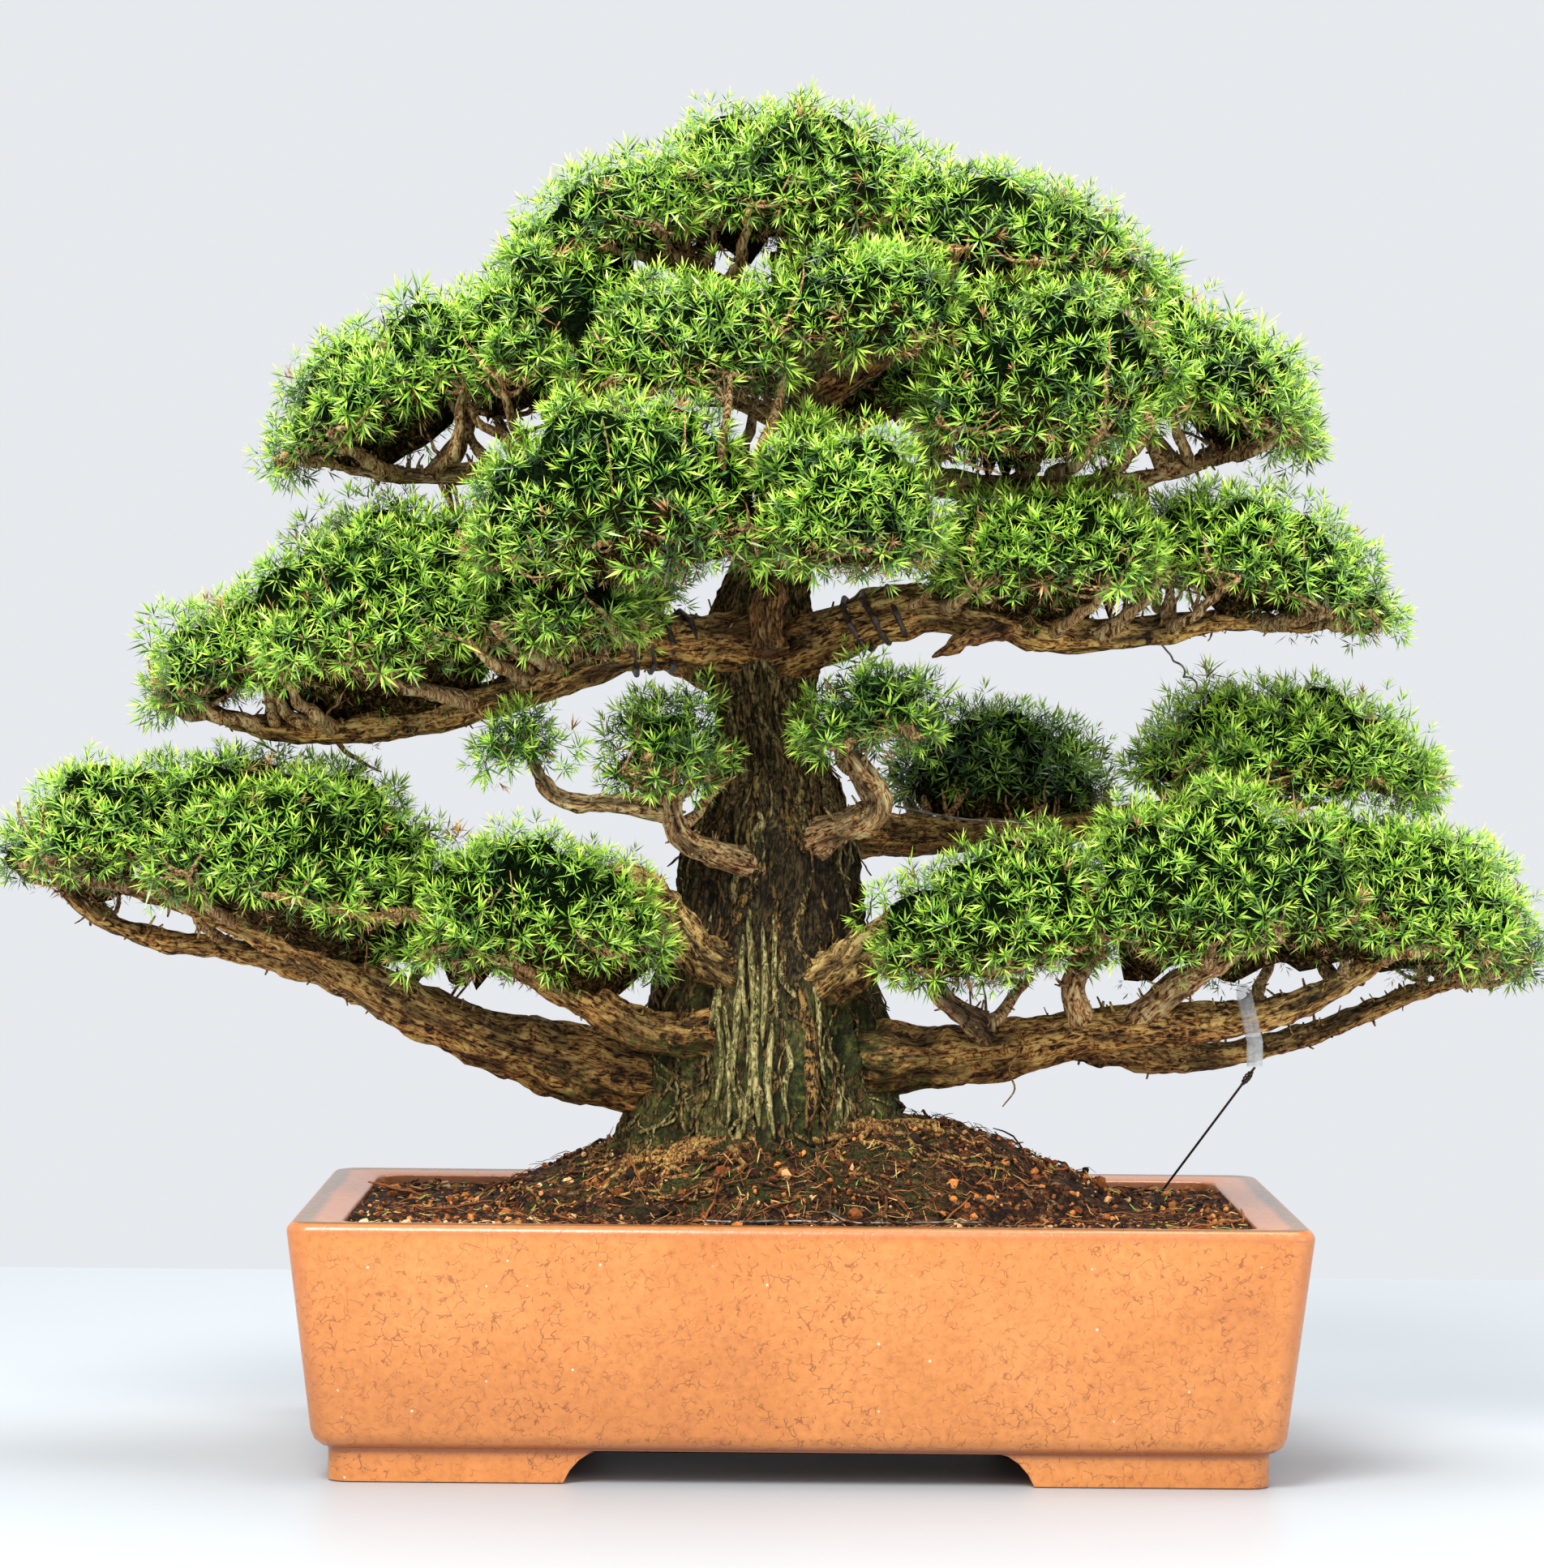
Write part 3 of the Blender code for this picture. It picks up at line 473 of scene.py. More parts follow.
def foliage_material(name):
    """Needles: near black at the foot of a shoot as painted shade, then green, fresh yellow-green at its
    tip, by the growth map. Its first number is the shoot's tone, partly its own and partly painted shade,
    and its second the place from old growth to new. The lowest tones are dry and brown."""
    material, tree, shader = new_material(name, 0.34, Specular_IOR_Level=0.55)
    tone, age, _ = split(tree, coordinates(tree, "growth"))
    # near black at the foot of each shoot: painted shade
    fresh = ramp(tree, age, (0.0, (0.004, 0.010, 0.003)), (0.15, (0.026, 0.080, 0.009)),
                 (0.34, (0.20, 0.47, 0.034)),
                 (0.56, (0.42, 0.76, 0.050)), (1.0, (0.90, 1.0, 0.20)))
    # the darker greens of low tones: painted shade for shoots deep in or at the back of a pad
    painted_shade_green = ramp(tree, age, (0.0, (0.001, 0.003, 0.001)), (0.3, (0.005, 0.022, 0.006)),
                (0.7, (0.028, 0.115, 0.020)),
                (1.0, (0.12, 0.32, 0.055)))
    green = mix(tree, ramp(tree, tone, (0.14, 0.0), (0.66, 1.0)), painted_shade_green, fresh)
    dry = ramp(tree, age, (0.0, (0.030, 0.012, 0.004)), (0.36, (0.30, 0.125, 0.036)),
               (1.0, (0.84, 0.52, 0.22)))
    green = mix(tree, ramp(tree, tone, (0.035, 1.0), (0.045, 0.0)), green, dry)
    tree.links.new(green, shader.inputs["Base Color"])
    return material


def shade_material(name):
    """The inside of the foliage: near black green above and near black brown below, without gloss."""
    material, tree, shader = new_material(name, 0.95, Specular_IOR_Level=0.02)
    under, _, _ = split(tree, coordinates(tree, "growth"))
    fine = noise(tree, coordinates(tree, "Object"), 420, 4, 0.7)
    green = ramp(tree, fine, (0.4, (0.0010, 0.0025, 0.0008)), (0.62, (0.005, 0.014, 0.003)))
    brown = ramp(tree, fine, (0.44, (0.004, 0.003, 0.001)), (0.58, (0.060, 0.036, 0.011)),
                 (0.68, (0.26, 0.15, 0.052)))
    tree.links.new(mix(tree, under, green, brown), shader.inputs["Base Color"])
    give_bump(tree, shader, fine, 0.002)
    return material


def soil_material(name):
    """Loose bark soil: crumbs of dark brown, rust and black, with pale specks, over damper patches."""
    material, tree, shader = new_material(name, 0.9, Specular_IOR_Level=0.2)
    at = coordinates(tree, "Object")
    bent = noise(tree, at, 90, 2)
    crumbs = cells(tree, at, 330, output="Color")
    tone = split(tree, crumbs)[0]
    earth = ramp(tree, tone, (0.0, (0.010, 0.006, 0.004)), (0.35, (0.035, 0.014, 0.006)),
                 (0.62, (0.115, 0.040, 0.013)),
                 (0.86, (0.24, 0.085, 0.025)), (0.96, (0.40, 0.22, 0.10)))
    patches = noise(tree, at, 22, 4)
    earth = mix(tree, ramp(tree, patches, (0.42, 0.0), (0.62, 0.8)), earth, (0.012, 0.007, 0.004))
    x, y, _ = split(tree, coordinates(tree, "Object", place=(-ORIGIN[0] + 0.02, -ORIGIN[1], 0)))
    near = plus(tree, times(tree, x, x), times(tree, y, y))
    mossy = minus(tree, noise(tree, at, 60, 4, 0.7), times(tree, near, 9.0))
    earth = mix(tree, ramp(tree, mossy, (0.36, 0.0), (0.50, 0.85)), earth, (0.050, 0.055, 0.012))
    fine = noise(tree, at, 900, 3, 0.7)
    earth = mix(tree, 1.0, earth, ramp(tree, fine, (0.36, 0.05), (0.66, 1.5)), "MULTIPLY")
    tree.links.new(earth, shader.inputs["Base Color"])
    height = plus(tree, times(tree, cells(tree, at, 330), -0.8), bent)
    give_bump(tree, shader, height, 0.003)
    return material


def scatter_material(name, roughness, *stops):
    """Small loose things: each takes its own colour from its tone, with a fine mottle."""
    material, tree, shader = new_material(name, roughness, Specular_IOR_Level=0.3)
    tone = split(tree, coordinates(tree, "growth"))[0]
    colour = ramp(tree, tone, *stops)
    fine = noise(tree, coordinates(tree, "Object"), 700, 3, 0.65)
    colour = mix(tree, 1.0, colour, ramp(tree, fine, (0.3, 0.6), (0.7, 1.35)), "MULTIPLY")
    tree.links.new(colour, shader.inputs["Base Color"])
    give_bump(tree, shader, fine, 0.0006, 0.7)
    return material


WALL_LEAN = 0.0125 / 0.112  # how far the wall comes in for each metre it goes down
SEAM_HEIGHT = 0.0165


def glaze_material(name):
    """Salmon glaze over stoneware: soft mottling, short broken crackle lines, pinholes, darker where it
    breaks thin over the rim and the corners, and grey-brown on the rim's flat top as a painted reflection."""
    material, tree, shader = new_material(name, 0.3, Specular_IOR_Level=0.5, Coat_Weight=0.35,
                                          Coat_Roughness=0.12)
    at = coordinates(tree, "Object")
    broad = noise(tree, at, 9, 4, 0.6)
    speckle = noise(tree, at, 240, 4, 0.7)
    colour = ramp(tree, broad, (0.34, (0.56, 0.185, 0.042)), (0.5, (0.64, 0.225, 0.051)),
                  (0.66, (0.70, 0.262, 0.068)))
    colour = mix(tree, 1.0, colour, ramp(tree, speckle, (0.34, (0.86, 0.82, 0.78)), (0.5, (1.0, 1.0, 1.0)),
                                         (0.66, (1.08, 1.10, 1.12))), "MULTIPLY")
    warped = tree.nodes.new("ShaderNodeVectorMath")
    warped.operation = "ADD"
    tree.links.new(at, warped.inputs[0])
    shift = tree.nodes.new("ShaderNodeVectorMath")
    shift.operation = "SCALE"
    turning = tree.nodes.new("ShaderNodeTexNoise")
    turning.inputs["Scale"].default_value = 110
    tree.links.new(at, turning.inputs["Vector"])
    tree.links.new(turning.outputs["Color"], shift.inputs[0])
    shift.inputs["Scale"].default_value = 0.012
    tree.links.new(shift.outputs[0], warped.inputs[1])
    crackle = ramp(tree, cells(tree, warped.outputs[0], 165, "DISTANCE_TO_EDGE"), (0.0, 1.0), (0.022, 0.7),
                   (0.050, 0.0))
    broken = ramp(tree, noise(tree, at, 210, 2, 0.5), (0.49, 0.0), (0.54, 1.0))
    patchy = ramp(tree, noise(tree, at, 21, 3, 0.6), (0.36, 0.40), (0.62, 0.85))
    broken = times(tree, broken, patchy)
    colour = mix(tree, times(tree, crackle, broken), colour, (0.22, 0.058, 0.013))
    pits = ramp(tree, cells(tree, at, 88), (0.0, 1.0), (0.040, 0.8), (0.07, 0.0))
    chosen = ramp(tree, split(tree, cells(tree, at, 88, output="Color"))[0], (0.50, 0.0), (0.52, 1.0))
    colour = mix(tree, times(tree, pits, chosen), colour, (0.95, 0.84, 0.72))
    x, y, z = split(tree, coordinates(tree, "Object", place=(-ORIGIN[0], -ORIGIN[1], -ORIGIN[2])))
    lean = times(tree, z, -WALL_LEAN)
    beside_x = minus(tree, HALF_LENGTH, plus(tree, math_node(tree, "ABSOLUTE", x), lean))
    beside_y = minus(tree, HALF_DEPTH, plus(tree, math_node(tree, "ABSOLUTE", y), lean))
    corner = plus(tree, beside_x, beside_y)
    wander = times(tree, minus(tree, noise(tree, at, 45, 3), 0.5), 0.006)
    edge = ramp(tree, times(tree, plus(tree, corner, wander), 40.0), (0.18, 0.85), (0.42, 0.0))
    over = plus(tree, times(tree, z, 60.0), 1.0)
    rim = ramp(tree, plus(tree, over, times(tree, wander, 14.0)), (0.52, 0.0), (0.74, 0.9))
    thin = mix(tree, speckle, (0.46, 0.140, 0.036), (0.62, 0.215, 0.066))
    colour = mix(tree, math_node(tree, "MAXIMUM", edge, rim), colour, thin)
    # grey-brown over the rim's flat top: a painted reflection
    rim_top_reflection = ramp(tree, plus(tree, over, times(tree, broad, 0.05)), (0.985, 0.0), (1.0, 0.8))
    colour = mix(tree, rim_top_reflection, colour, mix(tree, speckle, (0.105, 0.062, 0.020), (0.20, 0.122, 0.046)))
    foot = plus(tree, z, POT_HEIGHT)
    seam = ramp(tree, times(tree, math_node(tree, "ABSOLUTE", minus(tree, foot, SEAM_HEIGHT)), 160.0),
                (0.2, 0.75), (0.55, 0.0))
    colour = mix(tree, seam, colour, (0.30, 0.085, 0.035))
    tree.links.new(colour, shader.inputs["Base Color"])
    gloss = ramp(tree, speckle, (0.3, 0.24), (0.7, 0.44))
    tree.links.new(gloss, shader.inputs["Roughness"])
    height = plus(tree, times(tree, speckle, 0.5), times(tree, noise(tree, at, 30, 3), 1.2))
    height = minus(tree, height, times(tree, crackle, times(tree, broken, 0.25)))
    give_bump(tree, shader, height, 0.0011, 0.45)
    return material


def wire_material(name, light, dark, metallic, roughness):
    """Drawn wire, dulled in patches along its length."""
    material, tree, shader = new_material(name, roughness, Metallic=metallic)
    dull = noise(tree, coordinates(tree, "Object"), 260, 4, 0.6)
    tree.links.new(ramp(tree, dull, (0.38, dark), (0.6, light)), shader.inputs["Base Color"])
    give_bump(tree, shader, dull, 0.0002, 0.4)
    return material


def sleeve_material(name):
    """Clear soft tube, slightly clouded."""
    material, tree, shader = new_material(name, 0.12, IOR=1.45, Alpha=0.30)
    cloud = noise(tree, coordinates(tree, "Object"), 180, 3)
    tree.links.new(ramp(tree, cloud, (0.3, (0.50, 0.53, 0.54)), (0.7, (0.82, 0.85, 0.86))),
                   shader.inputs["Base Color"])
    return material


GLAZE = glaze_material("salmon_glaze")
SOIL = soil_material("bark_soil")
TRUNK_BARK = bark_material("trunk_bark", (0.003, 0.0025, 0.0012), (0.042, 0.027, 0.009), (0.31, 0.19, 0.060))
BARK = bark_material("branch_bark", (0.012, 0.005, 0.002), (0.38, 0.145, 0.034), (0.88, 0.49, 0.155))
LIMB_BARK = bark_material("limb_bark", (0.050, 0.018, 0.006), (0.56, 0.255, 0.095), (0.94, 0.62, 0.33))
RED_BARK = bark_material("peeled_bark", (0.035, 0.010, 0.004), (0.30, 0.095, 0.028), (0.58, 0.25, 0.09))
NEEDLES = foliage_material("needles")
SHADE = shade_material("foliage_shade")
CRUMBS = scatter_material("crumbs", 0.85, (0.0, (0.006, 0.004, 0.002)), (0.30, (0.030, 0.012, 0.005)),
                          (0.50, (0.25, 0.068, 0.015)), (0.80, (0.76, 0.28, 0.065)),
                          (1.0, (0.92, 0.66, 0.36)))
FIBRES = scatter_material("fibres", 0.8, (0.0, (0.005, 0.003, 0.002)), (0.35, (0.06, 0.020, 0.007)),
                          (0.60, (0.34, 0.115, 0.030)), (0.85, (0.90, 0.52, 0.20)), (1.0, (0.28, 0.46, 0.07)))
PALE_WIRE = wire_material("worn_wire", (0.26, 0.24, 0.22), (0.07, 0.06, 0.05), 0.8, 0.5)
DARK_WIRE = wire_material("dark_wire", (0.11, 0.075, 0.055), (0.03, 0.022, 0.018), 0.6, 0.5)
SLEEVE = sleeve_material("clear_sleeve")
SCREEN = wire_material("screen_plastic", (0.035, 0.035, 0.035), (0.015, 0.015, 0.015), 0.0, 0.6)


def dress(node, material):
    """Gives a CAD node that keeps its own shape a better material."""
    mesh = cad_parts[node].data
    mesh.materials.clear()
    mesh.materials.append(material)


for node, material in (("guy_wire", DARK_WIRE), ("guy_sleeve", SLEEVE), ("training_wire_left", DARK_WIRE),
                       ("training_wire_right", DARK_WIRE), ("drain_screen_left", SCREEN),
                       ("drain_screen_right", SCREEN)):
    dress(node, material)


# ---------------------------------------------------------------- pot

def make_pot():
    """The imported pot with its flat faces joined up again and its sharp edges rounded."""
    shape = bmesh.new()
    shape.from_mesh(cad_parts["pot"].data)
    bmesh.ops.remove_doubles(shape, verts=shape.verts, dist=2e-5)
    bmesh.ops.dissolve_limit(shape, angle_limit=math.radians(1), verts=shape.verts, edges=shape.edges)
    mesh = bpy.data.meshes.new("pot")
    shape.to_mesh(mesh)
    shape.free()
    mesh.shade_smooth()
    piece = new_piece("glazed_pot", mesh, GLAZE, "glaze", "pot")
    bevel = piece.modifiers.new("rounded_edges", "BEVEL")
    bevel.width = 0.0016
    bevel.segments = 3
    bevel.limit_method = "ANGLE"
    bevel.angle_limit = math.radians(38)
    bevel.use_clamp_overlap = True
    bevel.harden_normals = True
    return piece


make_pot()


# ---------------------------------------------------------------- wood

SPUR_STEPS, SPUR_SIDES, SPUR_LENGTH = 4, 4, 9.0
RIBBON_EDGES = 5
THIN_ROOT = 10.6  # a branch thinner than this at its root has the paler bark of limbs
FRONT_TURN = -1.62


def tapered(root, tip, share):
    """Half thickness at a share of a branch's length: from root to tip by the share to the power 0.85."""
    return root + (tip - root) * share**0.85


def stain_and_painted_light_of(points, normals, crevice, dark=0.0, pale=0.0):
    """How mossy, pale and dark the wood is: mossy and dark low down by the trunk, paler where it faces up
    and to the front as a painted highlight, and darker in its crevices as painted shade."""
    mm = (points - ORIGIN) / MM
    near = np.exp(-(((mm[:, 0] + 10) / 120) ** 2) - ((mm[:, 2] - 60) / 55) ** 2)
    patch = layered_noise(points * 38, 2, 5)
    moss = np.clip(0.62 * near * (0.7 + patch) + 0.25 * near * (normals[:, 2] < 0), 0, 1)
    # pale on faces that look up and to the front, away from the trunk's foot: a painted highlight
    lit = np.clip(0.25 + 0.55 * normals[:, 2] - 0.45 * normals[:, 1] + 0.5 * patch, 0, 1)
    pale = np.clip(pale + 0.32 * lit * (1 - near), 0, 1)
    # darker in the crevices: painted shade
    dark = np.clip(dark + crevice + 0.25 * near, 0, 0.92)
    return np.stack([moss, pale, dark], 1)


def bark_tube(route, root, tip, seed, sides=22, step=0.0030, rough=1.0, pale=0.0, dark=0.0, blunt=False):
    """A branch: a circle carried along a smooth path, thinner towards its tip. Its radius grows and
    shrinks by streaks of ridged noise stretched along the wood, by knobs of broad noise and by scales of
    fine noise. Returns the points, faces, grain, and moss, pale and dark with painted light and shade."""
    path, length = evenly(smooth_path(placed(route), 8), step)
    share = length / length[-1]
    radius = tapered(root, tip, share) * MM
    side, up = (v[0] for v in across(path[None]))
    turn = np.arange(sides) * 2 * math.pi / sides
    out = np.cos(turn)[None, :, None] * side[:, None] + np.sin(turn)[None, :, None] * up[:, None]
    grain = np.stack(np.broadcast_arrays(
        np.cos(turn)[None] * radius[:, None], np.sin(turn)[None] * radius[:, None], length[:, None] + seed),
        -1)
    streaks = ridged_noise(grain * np.array([210, 210, 30]), 2, seed)
    knobs = value_noise(grain * np.array([75, 75, 60]), seed + 3)
    scales = value_noise(grain * np.array([330, 330, 190]), seed + 5)
    bulge = 1 + rough * (0.17 * streaks + 0.17 * knobs + 0.3 * np.clip(knobs - 0.45, 0, 1))
    reach = radius[:, None] * bulge + rough * 0.0012 * scales
    if not blunt:
        reach *= np.sqrt(np.clip((1.004 - share) / 0.02, 0.02, 1))[:, None]
    points = path[:, None] + out * reach[..., None]
    faces = closed_grids(1, len(path), sides)
    # how deep each point lies in a crevice, which darkens it as painted shade
    crevice = np.clip(0.50 - 0.80 * streaks, 0, 0.9).ravel()
    stain_and_painted_light = stain_and_painted_light_of(points.reshape(-1, 3), out.reshape(-1, 3), crevice, dark, pale)
    return points.reshape(-1, 3), faces, grain.reshape(-1, 3), stain_and_painted_light


def spurs(paths, radii, count, seed):
    """Short stubby side twigs: tapering tubes that leave the wood sideways and bend up a little."""
    rng = np.random.default_rng(seed)
    at = rng.integers(2, len(paths) - 2, count)
    along = unit(np.gradient(paths, axis=0))[at]
    out = rng.normal(size=(count, 3)) + np.array([0, -0.25, 0.35])
    out = unit(out - along * (out * along).sum(1, keepdims=True) * 0.7)
    length = rng.uniform(0.35, 1, count)[:, None, None] * SPUR_LENGTH * MM
    start = paths[at] + out * radii[at][:, None] * 0.6
    t = np.linspace(0, 1, SPUR_STEPS)[None, :, None]
    bend = rng.normal(size=(count, 1, 3)) * 0.3 + np.array([0, 0, 0.35])
    lines = start[:, None] + length * (out[:, None] * t + bend * t * t * 0.6)
    thick = (np.linspace(1, 0.45, SPUR_STEPS)[None] * rng.uniform(0.6, 1.5, count)[:, None]) * MM
    return tubes(lines, thick, SPUR_SIDES)


def wood_piece(name, points, faces, grain, stain_and_painted_light, material, *stands_for):
    """A piece of wood at world points, with its grain, and its moss, bleach, painted highlight and painted
    shade for the bark material to read.
    """
    mesh = new_mesh(name, points, faces)
    give_vectors(mesh, "grain", grain)
    give_vectors(mesh, "stain_and_painted_light", stain_and_painted_light)
    new_piece(name, mesh, material, "bark", *stands_for)


def grain_of_tubes(points, steps, sides, seed):
    """Grain for a batch of plain tubes: across in world units, and along by step."""
    count = len(points) // (steps * sides)
    step = np.tile(np.repeat(np.arange(steps), sides), count) * 0.003
    which = np.repeat(np.arange(count), steps * sides)
    return np.stack([points[:, 0], points[:, 1] + points[:, 2], step + which * 0.37 + seed], 1)


def make_branches():
    """Every branch with its spurs, as one piece each."""
    for number, (name, (root, tip, route)) in enumerate(BRANCHES.items()):
        stub = "stub" in name
        low = name.startswith("low") or stub
        sides = 28 if root > 12 else 18
        # the rear right branch gets 0.25 more dark: painted shade behind the pads
        points, faces, grain, stain_and_painted_light = bark_tube(
            route, root * (1.06 if low else 1.0), tip, 11 + number, sides, rough=1.5 if stub else 1.0,
            pale=0.25 if stub else 0.0, dark=0.25 if name == "rear_right_branch" else 0.0)
        path, length = evenly(smooth_path(placed(route), 8), 0.004)
        radius = tapered(root, tip, length / length[-1]) * MM
        twig_points, twig_faces = spurs(path, radius, int(length[-1] / 0.0026), 300 + number)
        twig_grain = grain_of_tubes(twig_points, SPUR_STEPS, SPUR_SIDES, number)
        twig_stain_and_painted_light = np.tile([0.0, 0.25, 0.12], (len(twig_points), 1))
        all_points, all_faces = joined([(points, faces), (twig_points, twig_faces)])
        thin = root < THIN_ROOT and "crown" not in name and "rear" not in name
        wood_piece(name + "_bark", all_points, all_faces, np.vstack([grain, twig_grain]),
                   np.vstack([stain_and_painted_light, twig_stain_and_painted_light]), LIMB_BARK if thin else BARK, name)


def trunk_surface(turn, height):
    """Points of the trunk in millimetres, from the turn round it and the height above the rim, with how
    deep each lies in a crevice. The width follows TRUNK. Five lobes widen the foot, seven roots flare
    below 35 mm, tall ridges of stretched noise make the fibrous strands, and a shallow hollow is
    pressed into the upper front."""
    stations = smooth_path(TRUNK, 6)
    middle_x, middle_y, width = (np.interp(height, stations[:, 2], stations[:, k]) for k in (0, 1, 3))
    low, high = TRUNK[0][2], TRUNK[-1][2]
    lobes = 0.13 * ((high - height) / (high - low)) ** 3 * np.cos(5 * turn + 0.6)
    twist = turn + 0.10 * np.sin(height / 46) + 0.0016 * height
    round_it = np.stack([np.cos(twist), np.sin(twist), height / 60], -1)
    flutes = ridged_noise(round_it * np.array([3.1, 3.1, 0.75]), 2, 21)
    strands = ridged_noise(round_it * np.array([11, 11, 2.1]), 2, 22)
    fibres = ridged_noise(round_it * np.array([30, 30, 5.5]), 2, 23)
    tufts = layered_noise(round_it * np.array([19, 19, 24]), 2, 24)
    waves = 0.5 + 0.5 * np.cos(7 * turn + 1.1 + 0.4 * np.sin(3 * turn))
    flare = np.clip((36 - height) / 50, 0, 1) ** 1.5 * waves
    x = middle_x + width * np.cos(turn)
    front = np.clip(-np.sin(turn), 0, 1)
    hollow = front * np.exp(-(((x + 12) / 30) ** 2) - ((height - 150) / 34) ** 2)
    radius = width * (1 + lobes + 0.085 * flutes + 0.040 * strands) + 1.3 * fibres + 1.6 * tufts + 15 * flare
    radius = radius - 8 * hollow
    radius = np.maximum(radius, 1.5)
    points = np.stack([middle_x + radius * np.cos(turn), middle_y + radius * np.sin(turn) * TRUNK_DEPTH_SHARE,
                       height], -1)
    crevice = np.clip(0.46 - 0.50 * flutes - 0.38 * strands - 0.30 * fibres, 0, 0.92)
    return points, crevice, hollow, tufts


def ribbons(turns, heights, widths, lift, thick):
    """Strips of bark that follow the trunk: across each station of each strip (n, k) lie two edges and
    a crown, so that the section is a flat arch. Both ends run to a point."""
    count, steps = turns.shape
    base, *_ = trunk_surface(turns, heights)
    centre = np.stack([np.interp(heights, [s[2] for s in TRUNK], [s[k] for s in TRUNK]) for k in (0, 1)], -1)
    out = unit(np.concatenate([base[..., :2] - centre, np.full(turns.shape + (1,), 0.05)], -1))
    along = unit(np.gradient(base, axis=1))
    sideways = unit(np.cross(out, along))
    share = np.linspace(0, 1, steps)
    shape = np.clip(np.sin(np.pi * share), 0.03, 1) ** 0.45
    half = (widths[:, None] * shape)[..., None]
    raised = base + out * lift[..., None]
    section = [raised - sideways * half, raised - sideways * half * 0.4 + out * thick,
               raised + sideways * half * 0.4 + out * thick, raised + sideways * half,
               raised - out * thick * 0.8]
    points = np.stack(section, 2)
    return points.reshape(-1, 3), closed_grids(count, steps, RIBBON_EDGES)


def make_trunk():
    """A grid round and up trunk_surface, bleached on the crests of its lower front, with painted shade in its
    crevices, its hollow and a band higher up.
    """
    rows, columns = 230, 212
    top = TRUNK[-1][2] - 1
    share = np.linspace(0, 1, rows)
    height = (TRUNK[0][2] + 1) + (top - TRUNK[0][2] - 1) * share**1.25
    turn = np.arange(columns) * 2 * math.pi / columns - 1.5 * math.pi
    turn, height = np.meshgrid(turn, height)
    points, crevice, hollow, tufts = trunk_surface(turn, height)
    out = np.stack([np.cos(turn), np.sin(turn), 0 * turn], -1).reshape(-1, 3)
    world = placed(points.reshape(-1, 3))
    stain_and_painted_light = stain_and_painted_light_of(world, out, crevice.ravel())
    mm = points.reshape(-1, 3)
    # a dark band about 160 mm up: painted shade behind the front pads
    painted_upper_shade = 0.80 * np.exp(-(((mm[:, 2] - 160) / 62) ** 2))
    front = np.exp(-(((turn.ravel() - FRONT_TURN) / 0.42) ** 2) - ((mm[:, 2] - 84) / 50) ** 2)
    crest = np.clip(1.1 - 2.4 * crevice.ravel(), 0, 1)
    patch = np.clip(0.55 + 0.9 * value_noise(mm / 13.0, 26), 0, 1)
    stain_and_painted_light[:, 1] = np.clip(stain_and_painted_light[:, 1] + 1.0 * front * crest * patch, 0, 0.85)
    stain_and_painted_light[:, 0] = np.clip(stain_and_painted_light[:, 0] + 0.30 * tufts.ravel() + 0.32 * np.exp(-(((mm[:, 2] - 70) / 55) ** 2)),
                          0, 1)
    # the hollow and the upper band darkened: painted shade
    stain_and_painted_light[:, 2] = np.clip(stain_and_painted_light[:, 2] + 0.62 * hollow.ravel() + painted_upper_shade, 0, 0.93)
    radius = np.hypot(mm[:, 0] + 18, mm[:, 1] - 6) * MM
    grain = np.stack([np.cos(turn.ravel()) * radius, np.sin(turn.ravel()) * radius, mm[:, 2] * MM], 1)
    wood_piece("trunk_bark", world, closed_grids(1, rows, columns), grain, stain_and_painted_light, TRUNK_BARK, "trunk")


